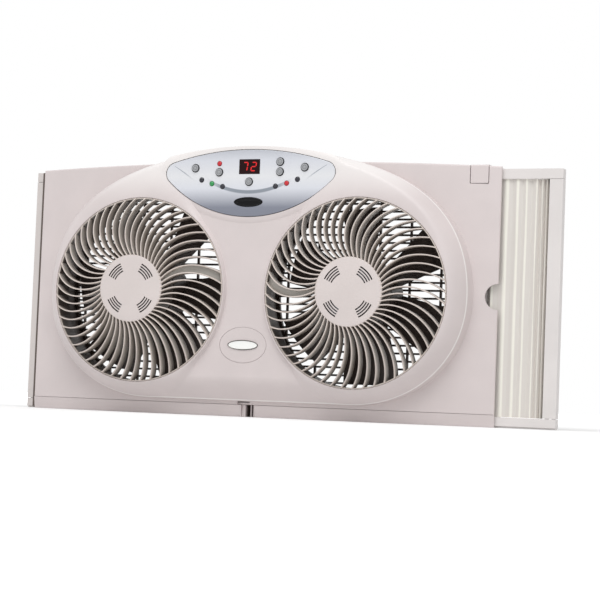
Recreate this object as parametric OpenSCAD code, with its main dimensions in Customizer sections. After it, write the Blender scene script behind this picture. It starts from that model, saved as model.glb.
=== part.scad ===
// Twin window fan with a crowned front, two spiral grilles and two side extenders.
// X runs to the right, Y from the front to the back, Z up. The origin is at the
// centre of the face that rests on the window sill.

/* [Housing] */
// Width of the front panel
panel_w = 595; // [560:1:640]
// Height of the front panel's corners above the fan axes
corner_up = 151; // [146:1:172]
// How far the top edge rises from its corners to its middle
top_rise = 6.3; // [3:0.1:12]
// How far the front panel bows forward between its side edges
crown = 16.5; // [8:0.5:24]
// Wall of the plastic shells
wall = 2.5; // [1.8:0.1:3.2]
// Height of the sill strip under the front panel
strip_h = 14.1; // [12:0.1:18]
// How far the sill strip leans back at its foot
strip_lean = 3; // [0:0.5:6]
// Depth of the rear shell behind the extender channels
rear_depth = 28; // [24:1:70]

/* [Bulge] */
// How far the bulge stands in front of the panel's middle
bulge_depth = 21; // [16:0.5:26]
// Half-width of the rounded end of the bulge
bulge_end = 139.6; // [132:0.2:142]
// Height of the bulge above the fan axes at its ends
bulge_up = 156; // [150:1:158]
// Height of the flat strip between the panel's lower edge and the bulge
ledge_h = 3.7; // [2:0.1:6]
// Height of the hump over the control panel above the fan axes
hump_up = 173; // [166:1:180]

/* [Fans] */
// Distance between the two fan axes
fan_spacing = 276.6; // [272:0.2:286]
// Height of the fan axes above the sill
fan_h = 148; // [146:0.5:152]
// Radius of each round opening in the front shell
opening_r = 111.2; // [108:0.2:112]
// How far each opening's rim stands in front of the bulge
rim_proud = 5.5; // [3:0.5:8]
// Number of vanes in each front grille
vanes = 52; // [24:1:64]
// Thickness of a vane
vane_t = 1.7; // [1.2:0.1:2.2]
// Depth of a vane from front to back
vane_depth = 13; // [8:0.5:16]
// Radius of the arc that each vane follows
vane_arc = 56.4; // [54:0.2:80]
// Angle by which a vane's inner end runs ahead of its outer end
vane_lead = 3.9; // [1:0.1:8]
// How far the grille domes forward of the opening's rim
dome = 20.4; // [14:0.2:24]
// Radius of the flat middle of the dome
dome_flat_r = 56.7; // [48:0.1:70]
// Radius of the hub cap
cap_r = 41; // [39:0.5:44]
// Number of blades on each impeller
blades = 6; // [4:1:8]
// Gap between the blade tips and the duct
tip_gap = 6; // [3:0.1:10]
// Chord of a blade at its tip
blade_chord = 66; // [40:1:70]
// Gap between the motor body and its cup
motor_gap = 3.5; // [1:0.1:6]
// Length of the motor body
motor_l = 30; // [24:0.5:32]
// Radius of the motor shaft
shaft_r = 4; // [3:0.1:5]

/* [Control panel] */
// Radius of the upper edge of the control plate
plate_upper_r = 330; // [280:1:400]
// Radius of the lower edge of the control plate
plate_lower_r = 149; // [145:1:160]
// Radius of the control plate's two tips
tip_r = 13; // [8:0.5:16]
// Distance from the hump's top to the control plate
plate_drop = 4.5; // [3:0.1:8]
// Height of the control plate
plate_h = 80; // [76:0.5:84]
// Thickness of the control plate
plate_t = 2; // [1.6:0.1:2.4]
// Radius of a push button
button_r = 4.4; // [3.6:0.1:4.8]
// Travel of a push button
button_travel = 1; // [0.6:0.1:1.2]
// Radius of an indicator lens
led_r = 3.1; // [2:0.1:3.4]
// Width of the temperature display
display_w = 26.5; // [20:0.5:28]
// Height of the temperature display
display_h = 17.5; // [14:0.5:18]

/* [Extenders] */
// Width of an extender's end bar
bar_w = 15.5; // [12:0.5:18]
// Depth of the extender frames from front to back
rail_d = 12.4; // [11:0.1:16]
// Height of an extender rail
rail_h = 11.6; // [9:0.1:12]
// Length of an extender rail
rail_l = 220; // [190:1:225]
// How far the right extender is drawn out
right_pull = 58; // [0:1:100]
// How far the left extender is drawn out
left_pull = 0; // [0:1:100]
// Number of pleats in a curtain
pleats = 9; // [9:1:11]
// Width of the sheet between two folds
pleat_l = 9.6; // [9.4:0.1:10.4]
// Thickness of the curtain's sheet
sheet_t = 0.4; // [0.2:0.1:0.6]

/* [Hidden] */
$fn = 96;
gap = 0.3;                 // working clearance between pieces
shaft_gap = 0.05;          // running clearance around the shafts
half_w = panel_w / 2;
corner_h = fan_h + corner_up;
fan_x = fan_spacing / 2;

// depths along Y, from the extender channels forward and back
channel_front = -6;        // front face of the extender channels
guide_t = 2;               // wall of the extender channels
seam_t = 0.2;              // gap between the front shell and the channels
panel_edge = 2.8;          // depth of the front panel at its side edges
rail_front = channel_front + guide_t + gap;
channel_back = rail_front + rail_d + gap + guide_t;
shell_back = channel_front - seam_t;
panel_front = shell_back - panel_edge - crown;        // front of the panel at its middle
bulge_front = panel_front - bulge_depth;       // flat face of the bulge
rim_y = bulge_front - rim_proud;               // plane of the two rims
rear_y = channel_back + rear_depth;            // back face of the housing
crown_r = (half_w * half_w + crown * crown) / (2 * crown);
top_mid = corner_h + top_rise;
top_r = (half_w * half_w + top_rise * top_rise) / (2 * top_rise);

// bulge outline
bulge_in = 9.4;
bulge_cx = fan_x - bulge_in;   // centre of each rounded end
bulge_down = fan_h - strip_h - gap - ledge_h;
upper_power = 2.05;        // superellipse exponents of the rounded ends
lower_power = 2.08;
hump_top = fan_h + hump_up;
// inset and depth of each slice: a steep flank up to a ridge, then a slope up to the face
flank = [[0, shell_back], [0.8, bulge_front + 17.5], [1.4, bulge_front + 15.9],
         [4, bulge_front + 8], [7.5, bulge_front + 2.3], [11.5, bulge_front]];
hump_share = 0.25;         // shares of a slice's inset at the hump and at its shoulders
shoulder_share = 0.5;

// front grille
dome_y = rim_y - dome;     // front of the vanes around the hub cap
ring_r = opening_r - gap;
ring_t = 1.6;
strut_back = 4;            // how far the channel's floor lies in front of the vanes' back
strut_t = 2;
cup_r = cap_r - 1;
cup_in_r = cup_r - wall;
cup_depth = 16;            // depth of the motor cup behind the rim's plane
cup_floor_y = rim_y + cup_depth;
cup_bore_r = 12;
left_phase = -2.7;         // angle of one vane's outer end on each grille
right_phase = 1;
vane_step = 360 / vanes;
left_channel = 1;          // the gap between vanes that carries the motor lead
right_channel = 24;
cap_t = 2.2;
cap_y = dome_y;
cap_crown = 1;             // how far the cap's middle stands in front of its edge
cap_lip = 2.5;             // height of the lip that clips into the cup
cap_lip_t = 1.5;
cap_slots = [22.8, 25.9, 28.9, 32];
cap_slot_t = 1.2;
cap_slot_span = 38;        // angle that a slot covers

// motor, shaft and impeller
motor_r = cup_in_r - motor_gap;
motor_back = cup_floor_y - wall - gap;
motor_front = motor_back - motor_l;
motor_step = 3;            // how far the motor's end caps are smaller than its can
cap_l = 6;                 // length of each of the motor's end caps
nose_r = 11.6;             // boss that passes through the cup's floor
ear_t = 4;                 // thickness of the motor's screw ears
ear_end_r = 5;
ear_in = 7;
ear_r = motor_r - ear_in;  // distance from the axis to the screws
motor_screw_r = 1.5;
motor_screw_head_r = 3;
motor_screw_head_t = 1.8;
tap_l = 8;                 // depth of the motor's screw holes
hub_gap = 3;
hub_front = cup_floor_y + hub_gap;
hub_l = 37;                // length of the hub's boss
hub_skirt_l = 45;          // length of the hub's outer wall
hub_r = 39;
hub_face_t = 6;
hub_boss_r = 9;
blade_y = hub_front + 27;  // middle of the blades
left_blade = 3;            // angle of one blade of each impeller
right_blade = 24.5;
blade_r = opening_r - tip_gap;
shaft_front = motor_front + cap_l;
nut_l = 8;
nut_r = 8;
shaft_back = hub_front + hub_l + nut_l - 1;
duct_in = 24;              // how far the duct starts behind the rim's plane
duct_front = rim_y + duct_in;
duct_back = rear_y - 0.5;
duct_t = 2.2;
flare_y = rim_y + 33;      // where the duct starts to widen
grid_pitch = 9.4;          // rear grille
grid_post_pitch = 38.8;
grid_t = 2.4;
grid_post_t = 2.8;
grid_bar_d = 3;            // depth of a guard's bars
grid_d = 6;                // depth of the guard's ring
grid_ring = 4;             // distance from the duct's wall to the ring's inside

// control panel
plate_top = hump_top - plate_drop;
plate_bottom = plate_top - plate_h;
plate_y = bulge_front - 1.5;
plate_edge = 5;            // width of the plate's seat on the front shell
display_drop = 20.5;       // distance from the plate's top to the display's middle
display_z = plate_top - display_drop;
window_proud = 0.2;
digit_t = 0.3;
digit_stroke = 1.3;
digit_x = 5.4;             // distance of each digit from the plate's middle
board_y = bulge_front + 6;
board_t = 1.6;
board_w = 160;
board_h = 42;
board_drop = 10;           // distance from the plate's top to the board's top
switch_w = 6;
switch_t = 1;              // height of the switches on the board
relay_at = [-45, 30];      // left edges of the two parts on the board's back
relay_size = [15, 8, 22];
relay_foot = 6;            // height of their lower ends above the board's lower edge
button_proud = 1.8;
button_chamfer = 0.6;
flange_w = 1.2;            // flange that keeps a button behind the plate
led_proud = 0.8;
// places on the plate, from its top centre: power, mode, speed, warmer, cooler, timer
button_at = [[-70.2, -21.8], [-39, -26.9], [0, -38.5], [39, -15], [39, -26.9], [70.2, -21.8]];
dark_leds = [[-61.5, -36], [-34, -44], [34, -44], [61.5, -36]];
red_leds = [[-39, -16.5], [48, -40.5]];
green_leds = [[-48, -40.5]];
sensor_up = 17.4;
sensor_z = plate_bottom + sensor_up;
sensor_proud = 0.8;
sensor_a = 18.4;
sensor_b = 5.8;

// badge, latch and notches
badge_down = 63.5;         // distance from the fan axes down to the badge
badge_z = fan_h - badge_down;
badge_proud = 1.2;
badge_rim = 1.2;           // width of the badge's raised rim
badge_a = 19.5;
badge_b = 6;
badge_field_a = 30;
badge_field_b = 21.3;
clip_w = 21;
clip_in = 25.6;            // distance from the panel's side edge to the lock's middle
clip_x = half_w - clip_in;
clip_proud = 0.8;
clip_top = top_mid - top_r + sqrt(top_r * top_r - clip_x * clip_x) + clip_proud;
clip_h = 21.4;
clip_bottom = clip_top - clip_h;
clip_slit = 0.6;           // width of the slit round the lock
finger_r = 15;
finger_z = fan_h + 0.8;
socket_w = 17;
socket_in = 4;             // how far the socket's ribs start behind the strip's foot
rib_t = 1.8;
ribs = [1.5, 5];
block_w = 4.6;             // solid part of the socket on its left
slot_w = 16;
slot_left = 13;            // distance from the middle to the slot's left end

// extenders
rail_foot = 1.6;           // the rails' narrower foot between the channel's lips
lip_w = 2.5;
rail_z = 0.4;
channel_roof = rail_z + rail_h + gap;
rail_drop = 2.4;           // distance from the panel's corners down to the top rail
top_rail_z = corner_h - rail_drop - rail_h;
channel_top = top_rail_z + rail_h + gap;
bar_out = 12.5;            // how far a retracted end bar stands out of the panel
closed_x = half_w + bar_out;   // outer face of a retracted end bar
channel_x = closed_x - bar_w - gap;
fold_room = 12.5;          // room for a folded curtain beside its post
post_x = closed_x - bar_w - fold_room;
post_t = 9;
post_front = rail_front + 3;
channel_lap = 1;           // how far the top channel reaches below its rail
post_z = [channel_roof + guide_t, top_rail_z - channel_lap];
// the widest radius that leaves the ducts clear of the channels and posts
duct_r = min(fan_x - post_t / 2, fan_h - post_z[0], post_z[1] - fan_h, post_x - post_t - fan_x)
    - duct_t - 1.5;
peg_r = 2.4;
peg_l = 5;
tab_l = 4.3;               // length of a curtain's tab on its post
tab_t = 1;
curtain_x = post_x + tab_l;    // first fold of a curtain
curtain_y = rail_front + rail_d / 2;           // middle of the pleats
curtain_z0 = channel_roof + guide_t + 1;
curtain_z1 = top_rail_z - 1.5;

// cord inlet in the rear shell
inlet_at = [-half_w + 44, channel_roof + 14];
inlet_r = 7;
inlet_bore_r = 3.4;
inlet_flange = 2.5;        // width of the flange on the rear shell
inlet_flange_t = 2;
inlet_l = 5;               // length of the tapered sleeve behind the flange

// screws that hold the two halves together, deep in bosses of the rear shell
screw_r = 2;
screw_l = 9;
screw_head_r = 3.8;
screw_head_t = 2.4;
boss_r = 6.2;
boss_floor = 3;
screw_seat = channel_back + gap + boss_floor;
screw_in = 20;             // distance of the screws from the channels
screw_at = [for (x = [-1, 0, 1], z = [post_z[0] + screw_in, post_z[1] - screw_in])
    [x * (post_x - post_t / 2), z]];
rear_in = 3;               // how far the rear shell lies inside the panel's edges

housing_colour = [0.87, 0.82, 0.81];
frame_colour = [0.92, 0.91, 0.90];
curtain_colour = [0.82, 0.80, 0.77];
vane_colour = [0.84, 0.80, 0.77];
dark_colour = [0.22, 0.19, 0.18];
plate_colour = [0.80, 0.84, 0.90];
button_colour = [0.65, 0.66, 0.67];
metal_colour = [0.72, 0.73, 0.75];

// ---------------------------------------------------------------- helpers

// Extrudes an outline drawn in X and Z along Y, from front to back
module along_y(front, back) {
    translate([0, back, 0]) rotate([90, 0, 0]) linear_extrude(back - front) children();
}

// Extrudes an outline drawn in Y and Z along X
module along_x(from, to) {
    translate([from, 0, 0]) rotate([90, 0, 90]) linear_extrude(to - from) children();
}

// Turns a profile of radius and depth about a fan's axis
module about_fan(side) {
    translate([side * fan_x, 0, fan_h]) rotate([-90, 0, 0]) rotate_extrude() children();
}

module fan_cylinder(side, r, front, back) {
    translate([side * fan_x, front, fan_h]) rotate([-90, 0, 0]) cylinder(r = r, h = back - front);
}

// Mirrors to the left side
module on_side(side) {
    if (side < 0) mirror([1, 0, 0]) children();
    else children();
}

module ellipse(a, b) {
    scale([1, b / a]) circle(r = a);
}

// ---------------------------------------------------------------- housing

// Space behind the crowned front face, drawn in by an inset
module crown_space(inset) {
    translate([0, panel_front + inset + crown_r, 0])
        cylinder(r = crown_r, h = hump_top, $fn = 720);
}

module panel_outline(inset) {
    intersection() {
        translate([-half_w + inset, strip_h + gap + inset])
            square([panel_w - 2 * inset, top_mid]);
        translate([0, top_mid - top_r - inset]) circle(r = top_r, $fn = 1440);
    }
}

// A quarter of a superellipse that leans over as much as the arc it meets at its top
function rounded_end(a, b, power, from, to, lean) = [
    for (i = [0 : 9])
        let (t = from + (to - from) * i / 9, along = a * pow(cos(t), 2 / power))
        [bulge_cx + along,
         b * pow(abs(sin(t)), 2 / power) * sign(sin(t)) - lean * along * (1 - along / a)]];

// Half of a slice of the bulge, drawn in by a wall and by a step
function bulge_half(thick, step) =
    let (inset = thick + step,
         top = hump_up - thick - hump_share * step,
         shoulder = bulge_up - thick - shoulder_share * step,
         rise = top - shoulder,
         r = (bulge_cx * bulge_cx + rise * rise) / (2 * rise))
    concat(
        rounded_end(bulge_end - inset, bulge_down - inset, lower_power, -90, 0, 0),
        rounded_end(bulge_end - inset, shoulder, upper_power, 9, 90,
            bulge_cx / sqrt(r * r - bulge_cx * bulge_cx)),
        [for (i = [5 : -1 : 0])
            let (x = bulge_cx * i / 6)
            [x, top - r + sqrt(r * r - x * x)]]);

module bulge_slice(thick, step, y) {
    half = bulge_half(thick, step);
    mirrored = [for (i = [len(half) - 1 : -1 : 0]) [-half[i].x, half[i].y]];
    translate([0, 0, fan_h]) along_y(y, y + 0.1) polygon(concat(half, mirrored));
}

module bulge_space(thick, back) {
    hull() {
        bulge_slice(thick, 0, back - 0.1);
        for (i = [1 : len(flank) - 1]) bulge_slice(thick, flank[i][0], flank[i][1] + thick);
    }
}

module rim(side) {
    about_fan(side) polygon([
        [opening_r, duct_front], [opening_r, rim_y], [opening_r + 1.8, rim_y],
        [opening_r + 4.4, rim_y + 0.8], [opening_r + 6.8, rim_y + 2.8],
        [opening_r + 8.2, rim_y + 5.6], [opening_r + 8.4, rim_y + 8],
        [opening_r + wall, rim_y + 8], [opening_r + wall, duct_front]]);
}

module plate_outline(inset) {
    rounding = tip_r - inset;
    offset(r = rounding) offset(delta = -rounding) intersection() {
        translate([0, plate_top - plate_upper_r]) circle(r = plate_upper_r - inset, $fn = 180);
        translate([0, plate_bottom + plate_lower_r]) circle(r = plate_lower_r - inset, $fn = 180);
    }
}

module front_shell() {
    color(housing_colour) difference() {
        union() {
            difference() {
                union() {
                    intersection() {
                        along_y(panel_front, shell_back) panel_outline(0);
                        crown_space(0);
                    }
                    bulge_space(0, shell_back);
                }
                intersection() {
                    along_y(panel_front, shell_back + 1) panel_outline(wall);
                    crown_space(wall);
                }
                bulge_space(wall, shell_back - wall);
            }
            for (side = [-1, 1]) rim(side);
        }
        for (side = [-1, 1]) fan_cylinder(side, opening_r, rim_y - 1, shell_back + 1);
        // seat and window for the control plate
        along_y(rim_y - 5, plate_y + plate_t) plate_outline(-gap);
        along_y(rim_y - 5, board_y) plate_outline(plate_edge);
        // seat for the badge
        translate([0, 0, badge_z]) along_y(rim_y, bulge_front + 1) ellipse(badge_field_a, badge_field_b);
        // finger notch in the right edge
        translate([half_w, panel_front, finger_z]) rotate([-90, 0, 0])
            cylinder(r = finger_r, h = crown + 5);
        // slot above the sill socket
        translate([-slot_left, panel_front - 1, strip_h]) cube([slot_w, wall + 2, gap + ledge_h]);
        // window for the extender lock
        translate([clip_x - clip_w / 2 - clip_slit, panel_front - 1, clip_bottom - clip_slit])
            cube([clip_w + 2 * clip_slit, crown + 6, clip_top - clip_bottom + 10]);
    }
}

module sill_strip(side) {
    color(housing_colour) on_side(side) difference() {
        intersection() {
            translate([socket_w / 2, panel_front, 0])
                cube([half_w - socket_w / 2, shell_back - panel_front, strip_h]);
            translate([0, panel_front + crown_r, 0])
                cylinder(r1 = crown_r - strip_lean, r2 = crown_r, h = strip_h, $fn = 1440);
        }
        translate([socket_w / 2 + wall, 0, 0]) intersection() {
            translate([0, panel_front, wall])
                cube([half_w - socket_w / 2 - 2 * wall, crown + 20, strip_h - 2 * wall]);
            translate([-socket_w / 2 - wall, panel_front + crown_r, 0])
                cylinder(r = crown_r - strip_lean - wall, h = strip_h, $fn = 1440);
        }
    }
}

// Pocket between the two sill strips, with its ribs
module sill_socket() {
    inner = socket_w / 2 - gap;
    color(housing_colour) {
        translate([-inner, shell_back - wall, 0]) cube([2 * inner, wall, strip_h]);
        for (x = ribs) translate([x, panel_front + strip_lean + socket_in, 0])
            cube([rib_t, shell_back - panel_front - strip_lean - socket_in, strip_h]);
        translate([-inner, panel_front + strip_lean + 1, 0])
            cube([block_w, shell_back - panel_front - strip_lean - 1, strip_h]);
    }
}

module rear_shell() {
    outer_w = panel_w - 2 * rear_in;
    top = channel_top + guide_t;
    color(housing_colour) difference() {
        translate([-outer_w / 2, channel_back + gap, 0]) cube([outer_w, rear_depth - gap, top]);
        translate([-outer_w / 2 + wall, channel_back, wall])
            cube([outer_w - 2 * wall, rear_depth - wall, top - 2 * wall]);
        for (side = [-1, 1]) fan_cylinder(side, duct_r + duct_t + gap, rear_y - wall - 1, rear_y + 1);
        at_screw(inlet_at, rear_y - wall - 1) cylinder(r = inlet_r + 0.2, h = wall + 2);
        for (p = screw_at) at_screw(p, rear_y - wall - 1) cylinder(r = boss_r - 1, h = wall + 2);
    }
    color(housing_colour) for (p = screw_at) difference() {
        at_screw(p, channel_back + gap) cylinder(r = boss_r, h = rear_depth - gap);
        at_screw(p, screw_seat) cylinder(r = screw_head_r + 0.8, h = rear_depth);
        at_screw(p, channel_back) cylinder(r = screw_r + gap, h = rear_depth);
    }
}

module at_screw(p, y) {
    translate([p.x, y, p.y]) rotate([-90, 0, 0]) children();
}

module housing_screws() {
    color(metal_colour) for (p = screw_at) {
        at_screw(p, screw_seat - screw_l) cylinder(r = screw_r, h = screw_l + 1);
        at_screw(p, screw_seat) cylinder(r = screw_head_r, h = screw_head_t);
    }
}

module cord_inlet() {
    color(dark_colour) at_screw(inlet_at, rear_y) difference() {
        union() {
            translate([0, 0, -wall - 3]) cylinder(r = inlet_r, h = wall + 3);
            cylinder(r = inlet_r + inlet_flange, h = inlet_flange_t);
            translate([0, 0, inlet_flange_t]) cylinder(r1 = inlet_r, r2 = inlet_r - 1, h = inlet_l);
        }
        translate([0, 0, -wall - 4]) cylinder(r = inlet_bore_r, h = wall + inlet_l + 8);
    }
}

// Channels that the extender rails slide in, across the whole housing
module bottom_channel() {
    color(housing_colour) {
        along_x(-channel_x, channel_x) {
            translate([channel_front, 0]) square([guide_t, channel_roof]);
            translate([channel_back - guide_t, 0]) square([guide_t, channel_roof]);
            translate([channel_front, channel_roof]) square([channel_back - channel_front, guide_t]);
            translate([channel_front, 0]) square([guide_t + lip_w, rail_foot]);
            translate([channel_back - guide_t - lip_w, 0]) square([guide_t + lip_w, rail_foot]);
        }
        translate([-40, channel_front, 0]) cube([80, channel_back - channel_front, rail_foot]);
    }
}

module top_channel() {
    color(housing_colour) along_x(-channel_x, channel_x) {
        for (y = [channel_front, channel_back - guide_t])
            translate([y, post_z[1]]) square([guide_t, channel_top - post_z[1]]);
        translate([channel_front, channel_top]) square([channel_back - channel_front, guide_t]);
    }
}

// Upright between the channels; the outer two each anchor a curtain
module post(place) {
    color(frame_colour) difference() {
        translate([place * (post_x - post_t / 2) - post_t / 2, post_front, post_z[0]])
            cube([post_t, channel_back - post_front, post_z[1] - post_z[0]]);
        for (p = screw_at) at_screw(p, screw_seat - screw_l - 0.5)
            cylinder(r = screw_r + shaft_gap, h = screw_l);
    }
}

// ---------------------------------------------------------------- fans

// Straight behind the grille, then wider towards the back
module duct(side) {
    wide_y = flare_y + duct_r - opening_r;
    color(dark_colour) about_fan(side) polygon([
        [opening_r, duct_front], [opening_r + duct_t, duct_front], [opening_r + duct_t, flare_y],
        [duct_r + duct_t, wide_y], [duct_r + duct_t, duct_back], [duct_r, duct_back],
        [duct_r, wide_y], [opening_r, flare_y]]);
}

function dome_at(r) = r < dome_flat_r ? dome_y
    : rim_y - dome * (1 - pow((r - dome_flat_r) / (opening_r - dome_flat_r), 2));

// The band of space that the vanes fill, in front of and behind the dome
module dome_band(side, from, to) {
    last = ring_r - ring_t / 2;
    radii = concat([cup_r - wall / 2], [for (i = [0 : 4]) dome_flat_r + (last - dome_flat_r) * i / 4]);
    about_fan(side) polygon(concat(
        [for (r = radii) [r, dome_at(r) + from]],
        [for (i = [len(radii) - 1 : -1 : 0]) [radii[i], dome_at(radii[i]) + to]]));
}

// A vane is an arc from the motor cup to the rim: its centre lies off both ends
vane_in = [cup_r * cos(vane_lead), cup_r * sin(vane_lead)];
vane_out = [opening_r, 0];
vane_chord = vane_out - vane_in;
vane_half = norm(vane_chord) / 2;
vane_centre = (vane_in + vane_out) / 2
    + sqrt(vane_arc * vane_arc - vane_half * vane_half) * [vane_chord.y, -vane_chord.x] / (2 * vane_half);

// Keeps the side of a vane's circle on which the vane lies
module vane_side() {
    reach = 2 * opening_r;
    rotate(atan2(vane_centre.y, vane_centre.x)) square([reach, reach]);
}

module vane_outline() {
    intersection() {
        translate(vane_centre) difference() {
            circle(r = vane_arc + vane_t / 2);
            circle(r = vane_arc - vane_t / 2);
        }
        vane_side();
    }
}

// The floor between two neighbouring vanes, which hides the motor lead
module channel_outline() {
    intersection() {
        translate(vane_centre) circle(r = vane_arc);
        vane_side();
        rotate(vane_step) difference() {
            circle(r = opening_r);
            translate(vane_centre) circle(r = vane_arc);
        }
    }
}

module front_grille(side, phase, channel) {
    color(vane_colour) difference() {
        grille_body(side, phase, channel);
        fan_cylinder(side, cap_r + gap, dome_y - 1, dome_y + cap_t);
        at_motor_screws(side, cup_floor_y - wall - 1) cylinder(r = motor_screw_r + 0.1, h = wall + 2);
    }
}

module grille_body(side, phase, channel) {
    union() {
        intersection() {
            translate([side * fan_x, 0, fan_h]) along_y(dome_y - 1, rim_y + vane_depth + 1)
                for (i = [0 : vanes - 1]) rotate(phase + i * vane_step) vane_outline();
            dome_band(side, 0, vane_depth);
        }
        intersection() {
            translate([side * fan_x, 0, fan_h]) along_y(dome_y - 1, rim_y + vane_depth + 1)
                rotate(phase + channel * vane_step) channel_outline();
            dome_band(side, vane_depth - strut_back - strut_t, vane_depth - strut_back);
        }
        // ring at the rim
        about_fan(side) translate([ring_r - ring_t, rim_y + gap]) square([ring_t, duct_in - 2 * gap]);
        // cup that holds the motor
        about_fan(side) polygon([
            [cup_in_r, dome_y + cap_t], [cup_r, dome_y + cap_t], [cup_r, cup_floor_y],
            [cup_bore_r, cup_floor_y], [cup_bore_r, cup_floor_y - wall], [cup_in_r, cup_floor_y - wall]]);
    }
}

module hub_cap(side) {
    cap_back = cap_y + cap_t;
    lip_r = cup_in_r - gap;
    color(vane_colour) difference() {
        about_fan(side) polygon([
            [0, cap_y - cap_crown], [0.4 * cap_r, cap_y - 0.8 * cap_crown],
            [0.73 * cap_r, cap_y - 0.4 * cap_crown], [0.95 * cap_r, cap_y], [cap_r, cap_y + cap_crown],
            [cap_r, cap_back], [lip_r, cap_back], [lip_r, cap_back + cap_lip],
            [lip_r - cap_lip_t, cap_back + cap_lip], [lip_r - cap_lip_t, cap_back], [0, cap_back]]);
        for (r = cap_slots, turn = [45 : 90 : 315])
            translate([side * fan_x, cap_y - 2, fan_h])
                rotate([-90, 0, 0]) rotate([0, 0, turn - cap_slot_span / 2])
                rotate_extrude(angle = cap_slot_span) translate([r - cap_slot_t / 2, 0])
                square([cap_slot_t, cap_t + 3]);
    }
}

module motor(side) {
    color(metal_colour) difference() {
        union() {
            fan_cylinder(side, motor_r - motor_step, motor_front, motor_back);
            fan_cylinder(side, motor_r, motor_front + cap_l, motor_back - cap_l);
            // nose through the cup's floor, and ears for the screws
            fan_cylinder(side, nose_r, motor_back - 1, cup_floor_y);
            at_motor_screws(side, motor_back - ear_t) cylinder(r = ear_end_r, h = ear_t);
        }
        fan_cylinder(side, shaft_r + shaft_gap, shaft_front - gap, cup_floor_y + 1);
        at_motor_screws(side, motor_back - tap_l) cylinder(r = motor_screw_r + shaft_gap, h = tap_l + 1);
    }
}

module at_motor_screws(side, y) {
    for (turn = [0, 120, 240]) translate([side * fan_x, y, fan_h])
        rotate([0, turn, 0]) translate([0, 0, ear_r]) rotate([-90, 0, 0]) children();
}

module motor_screws() {
    color(metal_colour) for (side = [-1, 1]) {
        at_motor_screws(side, cup_floor_y) cylinder(r = motor_screw_head_r, h = motor_screw_head_t);
        at_motor_screws(side, motor_back - tap_l + 1)
            cylinder(r = motor_screw_r, h = cup_floor_y - motor_back + tap_l);
    }
}

module fan_shaft(side) {
    color(metal_colour) fan_cylinder(side, shaft_r, shaft_front, shaft_back);
}

// A blade is lofted between twisted chords
blade_steps = 6;
blade_t = 2.2;
function blade_ring(i) =
    let (f = i / blade_steps,
         r = hub_r - 2 + (blade_r - hub_r + 2) * f,
         chord = blade_chord * (0.76 + 0.24 * f),
         pitch = 21 * f - 45)
    concat(
        [for (j = [0 : 5]) blade_point(r, chord * (j / 5 - 0.5), blade_t / 2, pitch, chord)],
        [for (j = [5 : -1 : 0]) blade_point(r, chord * (j / 5 - 0.5), -blade_t / 2, pitch, chord)]);
// The chord is laid around the axis, so a point keeps its radius
function blade_point(r, c, t, pitch, chord) =
    let (camber = 0.09 * chord * (1 - pow(2 * c / chord, 2)),
         along = c * cos(pitch) - (t + camber) * sin(pitch),
         deep = c * sin(pitch) + (t + camber) * cos(pitch),
         a = along / r * 180 / PI)
    [r * cos(a), r * sin(a), deep];

module blade() {
    ring = 12;
    points = [for (i = [0 : blade_steps], p = blade_ring(i)) p];
    last = blade_steps * ring;
    sides = [for (i = [0 : blade_steps - 1], j = [0 : ring - 1])
        let (a = i * ring + j, b = i * ring + (j + 1) % ring)
        each [[a, b, b + ring], [a, b + ring, a + ring]]];
    ends = [for (j = [0 : ring / 2 - 2])
        let (a = j, b = j + 1, c = ring - 2 - j, d = ring - 1 - j)
        each [[a, c, b], [a, d, c], [last + a, last + b, last + c], [last + a, last + c, last + d]]];
    polyhedron(points, concat(sides, ends));
}

module impeller(side) {
    turn = side < 0 ? left_blade : right_blade;
    color(dark_colour) difference() {
        union() {
            difference() {
                union() {
                    fan_cylinder(side, hub_r, hub_front, hub_front + hub_skirt_l);
                    translate([side * fan_x, blade_y, fan_h]) rotate([-90, 0, 0])
                        for (i = [0 : blades - 1]) rotate(turn + i * 360 / blades) blade();
                }
                fan_cylinder(side, hub_r - wall, hub_front + hub_face_t, hub_front + hub_skirt_l + 1);
            }
            fan_cylinder(side, hub_boss_r, hub_front + hub_face_t - 1, hub_front + hub_l);
        }
        fan_cylinder(side, shaft_r + shaft_gap, hub_front - 1, hub_front + hub_l + 1);
    }
}

module impeller_nut(side) {
    front = hub_front + hub_l + 0.1;
    color(metal_colour) difference() {
        translate([side * fan_x, front, fan_h]) rotate([-90, 0, 0]) cylinder(r = nut_r, h = nut_l, $fn = 6);
        fan_cylinder(side, shaft_r + shaft_gap, front - 1, front + nut_l - 1);
    }
}

// Straight-barred guard over the back of a duct
module rear_grille(side) {
    inner = duct_r - grid_ring;
    reach = inner + 2;
    rows = floor(inner / grid_pitch);
    posts = floor(inner / grid_post_pitch);
    y = duct_back - grid_d;
    color(dark_colour) {
        about_fan(side) translate([inner, y]) square([duct_r - gap - inner, grid_d]);
        translate([side * fan_x, 0, fan_h]) {
            for (i = [-rows : rows])
                let (half = sqrt(reach * reach - pow(i * grid_pitch, 2)))
                translate([-half, y, i * grid_pitch - grid_t / 2]) cube([2 * half, grid_bar_d, grid_t]);
            for (i = [-posts : posts])
                let (half = sqrt(reach * reach - pow(i * grid_post_pitch, 2)))
                translate([i * grid_post_pitch - grid_post_t / 2, y + grid_bar_d - 1, -half])
                    cube([grid_post_t, grid_bar_d, 2 * half]);
        }
    }
}

// ---------------------------------------------------------------- controls

module control_plate() {
    color(plate_colour) difference() {
        along_y(plate_y, plate_y + plate_t) plate_outline(0);
        for (p = button_at) plate_hole(p, button_r + 0.2);
        for (p = concat(dark_leds, red_leds, green_leds)) plate_hole(p, led_r + 0.1);
        translate([-display_w / 2 - 0.1, plate_y - 1, display_z - display_h / 2 - 0.1])
            cube([display_w + 0.2, plate_t + 2, display_h + 0.2]);
        translate([0, 0, sensor_z]) along_y(plate_y - 1, plate_y + plate_t + 1)
            ellipse(sensor_a + 0.1, sensor_b + 0.1);
    }
}

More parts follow.
